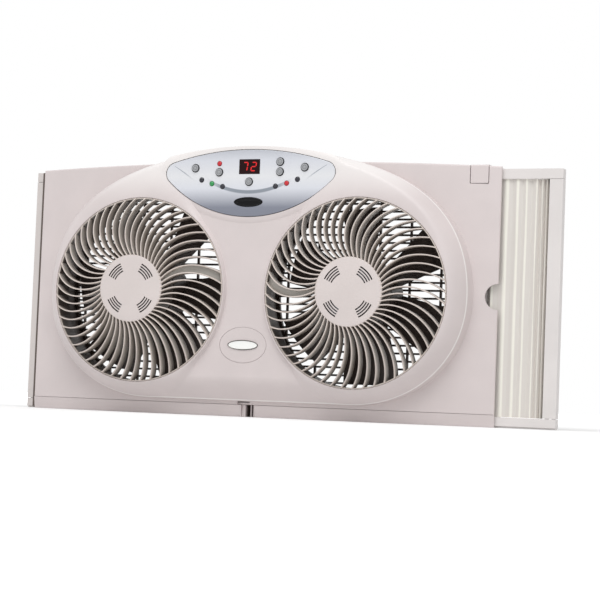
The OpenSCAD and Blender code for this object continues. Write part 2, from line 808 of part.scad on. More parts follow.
// Stands at a place on the plate and draws away from the viewer
module on_plate(p) {
    translate([p.x, plate_y, plate_top + p.y]) rotate([-90, 0, 0]) children();
}

module plate_hole(p, r) {
    on_plate(p) translate([0, 0, -1]) cylinder(r = r, h = plate_t + 2);
}

module display_window() {
    color([0.12, 0.03, 0.03]) translate([-display_w / 2, plate_y - window_proud, display_z - display_h / 2])
        cube([display_w, board_y - plate_y + window_proud, display_h]);
}

// Two seven-segment digits
module digit(x, lit) {
    w = display_h * 0.34;
    h = display_h * 0.3;
    t = digit_stroke;
    bars = [[0, h], [w / 2, h / 2], [w / 2, -h / 2], [0, -h], [-w / 2, -h / 2], [-w / 2, h / 2], [0, 0]];
    for (i = lit) translate([x + bars[i].x, bars[i].y])
        square(i == 0 || i == 3 || i == 6 ? [w - 0.4, t] : [t, h - 0.4], center = true);
}

module display_digits() {
    color([0.9, 0.12, 0.12]) translate([0, 0, display_z])
        along_y(plate_y - window_proud - digit_t, plate_y - window_proud) {
        digit(-digit_x, [0, 1, 2]);
        digit(digit_x, [0, 1, 6, 4, 3]);
    }
}

module sensor_window() {
    color([0.05, 0.05, 0.06]) translate([0, 0, sensor_z])
        along_y(plate_y - sensor_proud, plate_y + plate_t + 1) ellipse(sensor_a, sensor_b);
}

module button(i) {
    back = board_y - switch_t - button_travel - gap - plate_y;
    color(button_colour) on_plate(button_at[i]) {
        translate([0, 0, -button_proud])
            cylinder(r1 = button_r - button_chamfer, r2 = button_r, h = button_chamfer);
        translate([0, 0, button_chamfer - button_proud])
            cylinder(r = button_r, h = back + button_proud - button_chamfer);
        translate([0, 0, plate_t + gap]) cylinder(r = button_r + flange_w, h = 1);
    }
}

module indicators(places, tint) {
    color(tint) for (p = places) on_plate(p) {
        translate([0, 0, -led_proud]) cylinder(r1 = led_r - led_proud, r2 = led_r, h = led_proud);
        cylinder(r = led_r, h = plate_t);
        translate([0, 0, plate_t]) cylinder(r = led_r - 1, h = board_y - plate_y - plate_t);
    }
}

module control_board() {
    color([0.16, 0.36, 0.22]) {
        translate([-board_w / 2, board_y, plate_top - board_drop - board_h])
            cube([board_w, board_t, board_h]);
        for (p = button_at)
            translate([p.x - switch_w / 2, board_y - switch_t, plate_top + p.y - switch_w / 2])
            cube([switch_w, switch_t, switch_w]);
        for (x = relay_at)
            translate([x, board_y + board_t, plate_top - board_drop - board_h + relay_foot])
            cube(relay_size);
    }
}

module badge_plate() {
    color(housing_colour) translate([0, 0, badge_z]) difference() {
        along_y(bulge_front - seam_t, bulge_front + 1) ellipse(badge_field_a - gap, badge_field_b - gap);
        along_y(bulge_front - 1, bulge_front + 0.4) ellipse(badge_a + 0.1, badge_b + 0.1);
    }
}

module badge() {
    color(metal_colour) translate([0, 0, badge_z]) difference() {
        along_y(bulge_front - badge_proud, bulge_front + 0.4) ellipse(badge_a, badge_b);
        along_y(bulge_front - badge_proud - 1, bulge_front - badge_proud / 2)
            ellipse(badge_a - badge_rim, badge_b - badge_rim);
    }
}

// Sliding tab that hooks over the top of the right extender rail
module extender_lock() {
    face = panel_front + crown_r - sqrt(crown_r * crown_r - clip_x * clip_x);
    hook_z = channel_top + guide_t + gap;
    color(housing_colour) translate([clip_x - clip_w / 2, face, 0]) {
        translate([0, 0, clip_bottom]) cube([clip_w, shell_back - face, clip_top - clip_bottom]);
        translate([0, 0, hook_z]) cube([clip_w, channel_back - 3 - face, clip_top - hook_z]);
    }
}

// ---------------------------------------------------------------- extenders

module top_rail(side, pull) {
    color(frame_colour) on_side(side) difference() {
        translate([closed_x + pull - rail_l, rail_front, top_rail_z]) cube([rail_l, rail_d, rail_h]);
        bar_peg(pull, top_rail_z - 1, peg_l + 1 + gap, peg_r + 0.1);
    }
}

module bottom_rail(side, pull) {
    color(frame_colour) on_side(side) difference() {
        union() {
            translate([closed_x + pull - rail_l, rail_front, rail_foot + rail_z])
                cube([rail_l, rail_d, rail_h - rail_foot]);
            translate([closed_x + pull - rail_l, rail_front + lip_w + gap, rail_z])
                cube([rail_l, rail_d - 2 * lip_w - 2 * gap, rail_h - rail_foot]);
        }
        bar_peg(pull, rail_z + rail_h - peg_l - gap, peg_l + 1 + gap, peg_r + 0.1);
    }
}

module bar_peg(pull, z, h, r) {
    for (f = [0.25, 0.75])
        translate([closed_x + pull - bar_w * f, rail_front + rail_d / 2, z]) cylinder(r = r, h = h);
}

module end_bar(side, pull) {
    z0 = rail_z + rail_h + 0.4;
    z1 = top_rail_z - 0.4;
    color(frame_colour) on_side(side) {
        translate([closed_x + pull - bar_w, rail_front, z0]) cube([bar_w, rail_d, z1 - z0]);
        bar_peg(pull, z0 - peg_l, peg_l + 1, peg_r);
        bar_peg(pull, z1 - 1, peg_l + 1, peg_r);
    }
}

// Pleated sheet between a side post and an end bar, closer folded near the bar
module curtain(side, pull) {
    x0 = curtain_x;
    x1 = closed_x + pull - bar_w - gap;
    folds = 2 * pleats;
    slack = pull / 100;
    even = (x1 - x0) / folds;
    x = [for (i = [0 : folds]) let (f = i / folds) x0 + (x1 - x0) * (f + slack * f * (1 - f))];
    reach = sqrt(pleat_l * pleat_l - even * even) / 2;
    color(curtain_colour) on_side(side) translate([0, 0, curtain_z0])
        linear_extrude(curtain_z1 - curtain_z0) {
            // tab on the post, then the folds
            translate([post_x + gap, curtain_y + reach - tab_t])
                square([x0 - post_x - gap + sheet_t / 2, tab_t]);
            for (i = [0 : folds - 1]) {
                dx = x[i + 1] - x[i];
                up = (i % 2 == 0 ? -1 : 1) * 2 * reach;
                t = min(sheet_t, dx * 0.45);
                translate([x[i], curtain_y - up / 2]) rotate(atan2(up, dx))
                    translate([0, -t / 2]) square([norm([dx, up]), t]);
            }
        }
}

// ---------------------------------------------------------------- pieces

front_shell();
rear_shell();
sill_strip(-1);  // sill_strip_left
sill_strip(1);  // sill_strip_right
sill_socket();
bottom_channel();
top_channel();
post(-1);  // side_post_left
post(0);  // centre_post
post(1);  // side_post_right
housing_screws();
cord_inlet();
duct(-1);  // duct_left
duct(1);  // duct_right
front_grille(-1, left_phase, left_channel);  // front_grille_left
front_grille(1, right_phase, right_channel);  // front_grille_right
hub_cap(-1);  // hub_cap_left
hub_cap(1);  // hub_cap_right
motor(-1);  // motor_left
motor(1);  // motor_right
motor_screws();
fan_shaft(-1);  // fan_shaft_left
fan_shaft(1);  // fan_shaft_right
impeller(-1);  // impeller_left
impeller(1);  // impeller_right
impeller_nut(-1);  // impeller_nut_left
impeller_nut(1);  // impeller_nut_right
rear_grille(-1);  // rear_grille_left
rear_grille(1);  // rear_grille_right
control_plate();
display_window();
display_digits();
sensor_window();
control_board();
button(0);  // power_button
button(1);  // mode_button
button(2);  // speed_button
button(3);  // temp_up_button
button(4);  // temp_down_button
button(5);  // timer_button
indicators(dark_leds, [0.2, 0.2, 0.24]);  // dark_indicators
indicators(red_leds, [0.8, 0.15, 0.15]);  // red_indicators
indicators(green_leds, [0.2, 0.65, 0.3]);  // green_indicator
badge_plate();
badge();
extender_lock();
top_rail(-1, left_pull);  // top_rail_left
bottom_rail(-1, left_pull);  // bottom_rail_left
end_bar(-1, left_pull);  // end_bar_left
curtain(-1, left_pull);  // curtain_left
top_rail(1, right_pull);  // top_rail_right
bottom_rail(1, right_pull);  // bottom_rail_right
end_bar(1, right_pull);  // end_bar_right
curtain(1, right_pull);  // curtain_right
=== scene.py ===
"""Twin window fan: the looks of every piece, over its packed frame.

The frame's axes hold throughout: X runs to the right, Y from the front to the back, Z up.
Settings are in metres. Mesh code works in millimetres, and add_piece() brings it to metres.
"""
import math
from types import SimpleNamespace

import bmesh
import bpy
from bpy.props import (
    FloatProperty, FloatVectorProperty, IntProperty, PointerProperty)
from mathutils import Matrix, Vector


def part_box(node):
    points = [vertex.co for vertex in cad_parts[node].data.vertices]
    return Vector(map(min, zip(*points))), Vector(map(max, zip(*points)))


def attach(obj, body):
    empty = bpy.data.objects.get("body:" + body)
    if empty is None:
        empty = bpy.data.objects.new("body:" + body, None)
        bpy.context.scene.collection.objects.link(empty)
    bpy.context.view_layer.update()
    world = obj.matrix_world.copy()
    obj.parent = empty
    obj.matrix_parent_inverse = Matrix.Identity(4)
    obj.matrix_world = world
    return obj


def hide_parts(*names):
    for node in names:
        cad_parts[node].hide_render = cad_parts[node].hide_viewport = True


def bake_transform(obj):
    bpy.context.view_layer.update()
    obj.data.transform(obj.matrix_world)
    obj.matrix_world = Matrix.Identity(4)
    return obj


bl_info = {
    "name": "Twin Window Fan",
    "version": (1, 0, 0),
    "blender": (4, 5, 0),
    "location": "View3D > Sidebar > Window Fan",
    "description": "Builds the pieces, finishes and stage of a twin window fan on its frame",
    "category": "Object",
}

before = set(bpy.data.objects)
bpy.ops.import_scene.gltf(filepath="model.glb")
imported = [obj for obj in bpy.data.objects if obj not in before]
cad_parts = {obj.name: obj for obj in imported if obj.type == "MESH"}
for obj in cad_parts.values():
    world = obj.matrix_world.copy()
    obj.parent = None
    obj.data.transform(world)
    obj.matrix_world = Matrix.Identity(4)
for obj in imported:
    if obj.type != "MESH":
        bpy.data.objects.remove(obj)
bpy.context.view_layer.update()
MM = 0.001
SIDES = {"left": -1, "right": 1}


def node_box(name):
    """Lowest and highest corner of a frame node, in millimetres."""
    low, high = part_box(name)
    return low / MM, high / MM


def middle_of(low, high):
    """Middle of a box in X and Z."""
    return (low.x + high.x) / 2, (low.z + high.z) / 2


SHELL_LOW, SHELL_HIGH = node_box("front_shell")
REAR_LOW, REAR_HIGH = node_box("rear_shell")
DUCT_LOW, DUCT_HIGH = node_box("duct_right")
CAP_LOW, CAP_HIGH = node_box("hub_cap_right")
SOCKET_LOW = node_box("sill_socket")[0]
PLATE_LOW, PLATE_HIGH = node_box("control_plate")
GRILLE_LOW, GRILLE_HIGH = node_box("front_grille_right")
OPENING_R = (GRILLE_HIGH.x - GRILLE_LOW.x) / 2 + 0.3
DUCT_WALL = 2.2
DUCT_R = (DUCT_HIGH.x - DUCT_LOW.x) / 2 - DUCT_WALL
HALF_WIDTH = SHELL_HIGH.x
SEAM_Z = SHELL_LOW.z
SHELL_BACK = SHELL_HIGH.y
RIM_Y = SHELL_LOW.y
FAN_X, FAN_Z = middle_of(*node_box("fan_shaft_right"))
HUMP_TOP = SHELL_HIGH.z


# ---------------------------------------------------------------- settings

def length(name, default, about):
    """A size in metres, given in millimetres."""
    return FloatProperty(name=name, description=about, default=default * MM, min=0,
                         unit="LENGTH", precision=4)


def tint(name, default, about):
    """A colour as it looks on screen, given as three numbers from 0 to 255."""
    return FloatVectorProperty(name=name, description=about, subtype="COLOR_GAMMA", size=3,
                               min=0, max=1, default=[part / 255 for part in default])


class ShellSettings(bpy.types.PropertyGroup):
    """Sizes of the housing."""
    crown: length("Crown", 16.5, "How far the panel bows forward between its side edges")
    edge_depth: length("Edge depth", 2.8, "Depth of the panel at its side edges")
    corner_height: length("Corner height", 299, "Height of the panel's top corners")
    top_rise: length("Top rise", 6.3, "How far the top edge rises from its corners to its middle")
    edge_round: length("Edge rounding", 1.5, "Rounding of the panel's edges")
    wall: length("Wall", 2.5, "Wall of the plastic shells")
    bulge_depth: length("Bulge depth", 21, "How far the bulge stands before the panel's middle")
    bulge_end: length("Bulge end", 139.6, "Half-width of the rounded end of the bulge")
    bulge_inset: length("Bulge inset", 9.4, "How far the centre of an end lies inside the fan axis")
    bulge_up: length("Bulge top", 156, "Height of the bulge above the fan axes at its ends")
    ledge: length("Ledge", 3.7, "Height of the flat strip under the bulge")
    ridge_depth: length("Ridge depth", 15.9, "How far the bulge's ridge lies behind its face")
    slope: length("Slope", 20, "Width of the slope from the ridge up to the bulge's face")
    fillet: length("Fillet", 2.5, "Width of the hollow curve from the panel up to the ridge")
    rim_reach: length("Rim slope", 46, "Greatest width of the slope on an opening's outer side")
    rim_width: length("Rim width", 3.8, "Width of the lip on the inner side of each opening")
    strip_lean: length("Strip lean", 3, "How far the sill strip leans back at its foot")
    notch_radius: length("Finger notch", 15, "Radius of the finger notch in the right edge")
    rear_round: length("Rear rounding", 7, "Rounding of the rear shell's edges")


class FanSettings(bpy.types.PropertyGroup):
    """Sizes of the grilles and impellers."""
    vanes: IntProperty(name="Vanes", description="Number of vanes in a front grille",
                       default=52, min=12, max=90)
    vane_thickness: length("Vane thickness", 1.6, "Thickness of a vane")
    vane_depth: length("Vane depth", 13, "Depth of a vane from front to back")
    vane_arc: length("Vane arc", 56.4, "Radius of the arc that a vane follows")
    vane_lead: FloatProperty(
        name="Vane lead", description="How far a vane's inner end runs ahead of its outer end",
        default=math.radians(3.9), unit="ROTATION")
    left_turn: FloatProperty(name="Left turn", description="Angle of the left grille's first vane",
                             default=math.radians(-2.7), unit="ROTATION")
    right_turn: FloatProperty(
        name="Right turn", description="Angle of the right grille's first vane",
        default=math.radians(1), unit="ROTATION")
    dome: length("Dome", 20.4, "How far a grille domes forward of the rim")
    dome_flat: length("Dome flat", 56.7, "Radius of the flat middle of the dome")
    blades: IntProperty(name="Blades", description="Number of blades on an impeller",
                        default=6, min=3, max=12)
    blade_chord: length("Blade chord", 66, "Chord of a blade at its tip")
    blade_middle: length("Blade middle", 27, "Depth of the blades' middle behind the hub's face")
    hub_radius: length("Hub radius", 39, "Radius of an impeller's hub")
    skirt: length("Skirt", 45, "Length of the hub's outer wall")
    left_blade: FloatProperty(
        name="Left blade", description="Angle of a blade of the left impeller",
        default=math.radians(57), unit="ROTATION")
    right_blade: FloatProperty(
        name="Right blade", description="Angle of a blade of the right impeller",
        default=math.radians(35.5), unit="ROTATION")
    slot_rows: FloatVectorProperty(
        name="Slot rows", description="Radii of the slots in a hub cap", size=4,
        default=(0.0228, 0.0259, 0.0289, 0.032), unit="LENGTH", precision=4)
    slot_width: length("Slot width", 1.7, "Width of a slot in a hub cap")
    slot_span: FloatProperty(name="Slot span", description="Angle that each slot runs over",
                             default=math.radians(38), unit="ROTATION")
    flare: length("Duct flare", 33, "How far behind the rims the ducts start to widen")
    bar_pitch: length("Bar pitch", 9.4, "Distance between the bars of a rear guard")
    post_pitch: length("Post pitch", 38.8, "Distance between the posts of a rear guard")
    bar_width: length("Bar width", 2.4, "Width of a rear guard's bars")
    post_width: length("Post width", 2.8, "Width of a rear guard's posts")


class ControlSettings(bpy.types.PropertyGroup):
    """Sizes of the control plate and what it carries."""
    plate_upper: length("Upper radius", 330, "Radius of the plate's upper edge")
    plate_lower: length("Lower radius", 149, "Radius of the plate's lower edge")
    plate_tip: length("Tip radius", 13, "Radius of the plate's two tips")
    digit_width: length("Digit width", 5.6, "Width of a display digit")
    digit_height: length("Digit height", 10, "Height of a display digit")
    digit_gap: length("Digit spacing", 10.8, "Distance between the two digits")
    stroke: length("Digit stroke", 1.3, "Width of a digit's bars")
    badge_field: FloatVectorProperty(
        name="Badge field", description="Half-width and half-height of the oval badge field",
        size=2, default=(0.0297, 0.021), unit="LENGTH", precision=4)


class ExtenderSettings(bpy.types.PropertyGroup):
    """Sizes of the side extenders."""
    edge_round: length("Edge rounding", 1.2, "Rounding of the rails and end bars")
    sheet: length("Sheet", 0.35, "Thickness of a curtain")
    pleat_depth: length("Pleat depth", 8.6, "Depth of a curtain's pleats")
    ridges: FloatVectorProperty(
        name="Ridges", description="Places of the right curtain's front folds along the frame's X",
        size=7, default=(0.2868, 0.3025, 0.3155, 0.3255, 0.3375, 0.3440, 0.3490),
        unit="LENGTH", precision=4)


class FinishSettings(bpy.types.PropertyGroup):
    """Colours of the fan, as they look on screen."""
    housing: tint("Housing", (223, 213, 212), "Pale plastic of the housing")
    # painted highlight: the colour painted on the bulge's ridge line and on the top of the hump
    ridge: tint("Ridge", (252, 249, 247), "Ridge line of the bulge")
    frames: tint("Extender frames", (231, 226, 224), "Plastic of the rails and end bars")
    # painted shade: a darker copy of the frames' plastic, for the left extender in shade
    closed_bar: tint("Left bar", (217, 210, 207), "Plastic of the left end bar")
    grille: tint("Grilles", (214, 203, 196), "Plastic of the front grilles")
    cap: tint("Hub caps", (225, 215, 212), "Plastic of the hub caps")
    strut: tint("Lead channels", (186, 182, 176), "Channels between two vanes of each grille")
    # painted shade: the colour that the vanes darken to at their backs
    deep: tint("Vanes, deep", (128, 119, 111), "Back of the front grilles, away from the light")
    curtain: tint("Curtain", (226, 221, 215), "Sheet of the curtains")
    dark: tint("Dark plastic", (98, 86, 81), "Ducts, rear guards and impellers")
    plate_high: tint("Plate, high", (186, 189, 197), "Control plate at its upper edge")
    plate_middle: tint("Plate, middle", (229, 230, 233), "Control plate at its middle")
    plate_low: tint("Plate, low", (115, 119, 133), "Control plate at its lower edge")
    accent: tint("Accent", (112, 122, 134), "Curved accent on the control plate")
    button: tint("Buttons", (164, 166, 169), "Push buttons")
    red: tint("Red light", (200, 42, 52), "Red indicators and digits")
    green: tint("Green light", (52, 150, 84), "Green indicator")


class StageSettings(bpy.types.PropertyGroup):
    """Camera and light."""
    camera_at: FloatVectorProperty(
        name="Camera", description="Place of the camera", size=3,
        default=(0.8509, -2.0334, 0.0226), unit="LENGTH", precision=4)
    heading: FloatProperty(name="Heading", description="Turn of the camera to the left",
                           default=math.radians(21.465), unit="ROTATION")
    pitch: FloatProperty(name="Pitch", description="How far the camera looks up",
                         default=math.radians(3.215), unit="ROTATION")
    roll: FloatProperty(name="Roll", description="Turn of the camera about its own axis",
                        default=math.radians(-2.286), unit="ROTATION")
    lens: FloatProperty(name="Lens", description="Focal length on a 36 mm sensor",
                        default=109.95, min=10)
    shift: FloatVectorProperty(name="Shift", description="Shift of the picture, in picture widths",
                               size=2, default=(0.0006, -0.0051), precision=4)
    key_at: FloatVectorProperty(name="Key lamp place", description="Place of the key lamp", size=3,
                                default=(0.4, -2.0, 3.4), unit="LENGTH", precision=4)
    key_size: FloatVectorProperty(name="Key lamp size", description="Width and height of the lamp",
                                  size=2, default=(3.5, 2.5), unit="LENGTH", precision=4)
    key: FloatProperty(name="Key lamp power", description="Power of the key lamp", default=88,
                       unit="POWER")
    sky: FloatProperty(name="Sky", description="Strength of the even light from all round",
                       default=0.52, min=0)


def sizes(group):
    """A group's settings as plain numbers, with its lengths in millimetres."""
    found = SimpleNamespace()
    for item in group.bl_rna.properties:
        if item.identifier in ("rna_type", "name"):
            continue
        value = getattr(group, item.identifier)
        scale = 1 / MM if getattr(item, "unit", "") == "LENGTH" else 1
        if getattr(item, "array_length", 0):
            value = [part * scale for part in value]
        elif scale != 1:
            value = value * scale
        setattr(found, item.identifier, value)
    return found


# ---------------------------------------------------------------- mesh helpers

def circle_points(centre, radius, count, start=0.0, turn=math.tau, ends=False):
    """Points of an arc in X and Z, counter-clockwise as seen from the front."""
    steps = count - 1 if ends else count
    return [(centre[0] + radius * math.cos(start + turn * i / steps),
             centre[1] + radius * math.sin(start + turn * i / steps)) for i in range(count)]


def ellipse_points(a, b, count=96, centre=(0, 0)):
    return [(centre[0] + a * math.cos(math.tau * i / count),
             centre[1] + b * math.sin(math.tau * i / count)) for i in range(count)]


def rounded_box(x0, x1, z0, z1, radii, steps=6):
    """A rounded rectangle in X and Z. The radii go round from the lower right corner."""
    corners = [(x1, z0, -90), (x1, z1, 0), (x0, z1, 90), (x0, z0, 180)]
    points = []
    for (x, z, start), radius in zip(corners, radii):
        centre = (x - math.copysign(radius, x - (x0 + x1) / 2),
                  z - math.copysign(radius, z - (z0 + z1) / 2))
        points += circle_points(centre, max(radius, 0.001), steps + 1,
                                math.radians(start), math.pi / 2, ends=True)
    return points


def at_depth(outline, y):
    """Stands an outline in X and Z at a depth."""
    return [(x, y, z) for x, z in outline]


def loft(rings, closed=False):
    """Joins equally long rings of points. An open loft gets a face at each end."""
    count = len(rings[0])
    points = [point for ring in rings for point in ring]
    faces = []
    for i in range(len(rings) if closed else len(rings) - 1):
        a, b = i * count, (i + 1) % len(rings) * count
        faces += [(a + j, a + (j + 1) % count, b + (j + 1) % count, b + j) for j in range(count)]
    if not closed:
        faces += [tuple(range(count))[::-1], tuple(range(len(points) - count, len(points)))]
    return points, faces


def prism(outline, front, back):
    return loft([at_depth(outline, front), at_depth(outline, back)])


def lathe(profile, centre, segments=192):
    """Turns a closed profile of (radius, depth) about a line along Y."""
    rings = []
    for i in range(segments):
        angle = math.tau * i / segments
        rings.append([(centre[0] + r * math.cos(angle), y, centre[1] + r * math.sin(angle))
                      for r, y in profile])
    return loft(rings, closed=True)


def joined(*parts):
    """Puts several lists of points and faces together."""
    points, faces = [], []
    for part_points, part_faces in parts:
        faces += [tuple(i + len(points) for i in face) for face in part_faces]
        points += part_points
    return points, faces


def tidy_mesh(mesh):
    """Merges doubled points and turns every face outwards."""
    work = bmesh.new()
    work.from_mesh(mesh)
    bmesh.ops.remove_doubles(work, verts=work.verts, dist=1e-7)
    bmesh.ops.dissolve_degenerate(work, edges=work.edges, dist=1e-7)
    bmesh.ops.recalc_face_normals(work, faces=work.faces)
    work.to_mesh(mesh)
    work.free()


def add_piece(name, part):
    """A new object from points in millimetres, with its place in its mesh."""
    points, faces = part
    mesh = bpy.data.meshes.new(name)
    mesh.from_pydata([Vector(point) * MM for point in points], [], faces)
    tidy_mesh(mesh)
    piece = bpy.data.objects.new(name, mesh)
    bpy.context.scene.collection.objects.link(piece)
    return piece


def bake(piece):
    """Turns a piece and its modifiers into a plain mesh."""
    bpy.context.view_layer.update()
    depsgraph = bpy.context.evaluated_depsgraph_get()
    mesh = bpy.data.meshes.new_from_object(piece.evaluated_get(depsgraph), depsgraph=depsgraph)
    old = piece.data
    piece.modifiers.clear()
    piece.data = mesh
    mesh.name = piece.name
    bpy.data.meshes.remove(old)
    return piece


def combine(piece, operation, part):
    """Joins a second closed form to a piece, or cuts it out of the piece."""
    other = add_piece("Cutter", part)
    modifier = piece.modifiers.new("Combine", "BOOLEAN")
    modifier.solver = "MANIFOLD"
    modifier.operation = operation
    modifier.object = other
    bake(piece)
    bpy.data.objects.remove(other)
    if not piece.data.polygons:
        raise RuntimeError(f"{piece.name}: nothing is left after {operation}")
    return piece


def cut(piece, *forms):
    """Cuts closed forms out of a piece, one after another."""
    for form in forms:
        combine(piece, "DIFFERENCE", form)
    return piece


def smooth(piece, angle=32, bevel=0.0):
    """Rounds a piece's sharp edges and shades the rest of it smooth."""
    if bevel:
        modifier = piece.modifiers.new("Rounding", "BEVEL")
        modifier.width = bevel * MM
        modifier.segments = 3
        modifier.limit_method = "ANGLE"
        modifier.angle_limit = math.radians(38)
        bake(piece)
    piece.data.shade_smooth()
    piece.data.set_sharp_from_angle(angle=math.radians(angle))
    modifier = piece.modifiers.new("Normals", "WEIGHTED_NORMAL")
    modifier.keep_sharp = True
    return bake(piece)


def finish_piece(piece, material, body, slot, *nodes):
    """Gives a piece its material, the body it rides on and the nodes it stands for."""
    piece.data.materials.clear()
    piece.data.materials.append(material)
    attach(piece, body)
    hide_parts(*nodes)
    return piece


def dressed_copy(name, node, bevel, cuts=()):
    """A piece from a frame node's own mesh, with these forms cut out and its edges rounded."""
    work = bmesh.new()
    work.from_mesh(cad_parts[node].data)
    bmesh.ops.remove_doubles(work, verts=work.verts, dist=1e-6)
    bmesh.ops.dissolve_limit(work, angle_limit=math.radians(1), verts=work.verts,
                             edges=work.edges)
    mesh = bpy.data.meshes.new(name)
    work.to_mesh(mesh)
    work.free()
    mesh.materials.clear()
    piece = bpy.data.objects.new(name, mesh)
    bpy.context.scene.collection.objects.link(piece)
    return smooth(cut(piece, *cuts), bevel=bevel)


# ---------------------------------------------------------------- node helpers

class Wire:
    """A node's output that can stand in an expression."""

    def __init__(self, graph, socket):
        self.graph, self.socket = graph, socket

    def out(self, name):
        """Another output of the same node."""
        return Wire(self.graph, self.socket.node.outputs[name])

    def maths(self, operation, *values):
        return self.graph.node("ShaderNodeMath", {"operation": operation},
                               dict(enumerate(values)))

    def __add__(self, other):
        return self.maths("ADD", self, other)

    __radd__ = __add__

    def __sub__(self, other):
        return self.maths("SUBTRACT", self, other)

    def __rsub__(self, other):
        return self.maths("SUBTRACT", other, self)

    def __mul__(self, other):
        return self.maths("MULTIPLY", self, other)

    __rmul__ = __mul__

    def __truediv__(self, other):
        return self.maths("DIVIDE", self, other)

    def __rtruediv__(self, other):
        return self.maths("DIVIDE", other, self)

    def __pow__(self, other):
        return self.maths("POWER", self, other)

    def __neg__(self):
        return 0 - self

    def __abs__(self):
        return self.maths("ABSOLUTE", self)

    def step(self, low, high):
        """Rises smoothly from 0 at low to 1 at high."""
        return self.graph.node("ShaderNodeMapRange", {"interpolation_type": "SMOOTHSTEP"},
                               {"Value": self, "From Min": low, "From Max": high})

    def mix(self, first, second):
        """Goes from the first colour to the second as this value goes from 0 to 1."""
        return self.graph.node("ShaderNodeMix", {"data_type": "RGBA"},
                               {0: self, 6: first, 7: second}, output=2)


class Graph:
    """A node tree that is written as expressions."""

    def __init__(self, tree):
        self.tree = tree

    def node(self, kind, settings=None, inputs=None, output=0):
        """Adds a node: its settings first, then the values or links of its sockets."""
        node = self.tree.nodes.new(kind)
        for key, value in (settings or {}).items():
            if key == "stops":
                while len(node.color_ramp.elements) < len(value):
                    node.color_ramp.elements.new(0.5)
                for element, (place, colour) in zip(node.color_ramp.elements, value):
                    element.position, element.color = place, colour
            else:
                setattr(node, key, value)
        for key, value in (inputs or {}).items():
            if isinstance(value, Wire):
                self.tree.links.new(value.socket, node.inputs[key])
            else:
                node.inputs[key].default_value = value
        return Wire(self, node.outputs[output]) if node.outputs else None


class Paint(Graph):
    """A material's node tree, with one shader at its end."""

    def __init__(self, name):
        self.material = bpy.data.materials.new(name)
        self.material.use_nodes = True
        super().__init__(self.material.node_tree)
        self.tree.nodes.clear()
        self.at = self.node("ShaderNodeTexCoord", output="Object")

    def xyz(self):
        """The object's own X, Y and Z, in millimetres."""
        split = self.node("ShaderNodeSeparateXYZ", inputs={0: self.at})
        return split.out("X") / MM, split.out("Y") / MM, split.out("Z") / MM

    def noise(self, size, detail=2.0, stretch=(1, 1, 1)):
        """Soft noise whose blobs are about one size across, in millimetres."""
        place = self.node("ShaderNodeMapping", inputs={"Vector": self.at, "Scale": stretch})
        return self.node("ShaderNodeTexNoise",
                         inputs={"Vector": place, "Scale": 1 / (size * MM), "Detail": detail})

    def bump(self, height, depth):
        """A normal from a height of 0 to 1 that stands for a depth in millimetres."""
        return self.node("ShaderNodeBump", inputs={
            "Height": height, "Distance": depth * MM, "Strength": 1.0})

    def finish(self, **sockets):
        """Ends the material in a Principled shader and returns it."""
        named = {key.replace("_", " ").title().replace("Ior", "IOR"): value
                 for key, value in sockets.items()}
        shader = self.node("ShaderNodeBsdfPrincipled", inputs=named, output="BSDF")
        self.node("ShaderNodeOutputMaterial", inputs={"Surface": shader})
        return self.material


def linear(colour, shade=1.0):
    """A screen colour as a shader needs it, made lighter or darker by a share."""
    return [min(1.0, shade * (part / 12.92 if part <= 0.04045 else
                              ((part + 0.055) / 1.055) ** 2.4)) for part in colour[:3]] + [1.0]


def set_inputs(modifier, **values):
    """Sets the inputs of a Geometry Nodes modifier by their names in the tree."""
    for item in modifier.node_group.interface.items_tree:
        key = item.name.replace(" ", "_").lower()
        if item.item_type == "SOCKET" and item.in_out == "INPUT" and key in values:
            modifier[item.identifier] = values[key]


def new_geometry_tree(name, inputs):
    """An empty Geometry Nodes tree with a geometry in and out, and these inputs."""
    tree = bpy.data.node_groups.new(name, "GeometryNodeTree")
    tree.interface.new_socket("Geometry", in_out="OUTPUT", socket_type="NodeSocketGeometry")
    tree.interface.new_socket("Geometry", in_out="INPUT", socket_type="NodeSocketGeometry")
    for label, kind in inputs:
        tree.interface.new_socket(label, in_out="INPUT", socket_type="NodeSocket" + kind)
    graph = Graph(tree)
    return graph, graph.node("NodeGroupInput")


def end_geometry_tree(graph, geometry, material):
    """Realizes the copies, sets their material and links the output."""
    real = graph.node("GeometryNodeRealizeInstances", inputs={"Geometry": geometry})
    painted = graph.node("GeometryNodeSetMaterial", inputs={"Geometry": real, "Material": material})
    graph.node("NodeGroupOutput", inputs={"Geometry": painted})
    return graph.tree


def ring_tree():
    """Copies of the mesh, evenly round a line along Y."""
    graph, start = new_geometry_tree("Copies round an axis", [
        ("Count", "Int"), ("First angle", "Float"), ("Centre", "Vector"), ("Finish", "Material")])
    count = start.out("Count")
    index = graph.node("GeometryNodeInputIndex")
    points = graph.node("GeometryNodePoints", inputs={"Count": count})
    angle = -(start.out("First angle") + index * math.tau / count)
    turn = graph.node("ShaderNodeCombineXYZ", inputs={"Y": angle})
    copies = graph.node("GeometryNodeInstanceOnPoints", inputs={
        "Points": points, "Instance": start.out("Geometry"),
        "Rotation": graph.node("FunctionNodeEulerToRotation", inputs={0: turn})})
    placed = graph.node("GeometryNodeTransform", inputs={
        "Geometry": copies, "Translation": start.out("Centre")})
    return end_geometry_tree(graph, placed, start.out("Finish"))


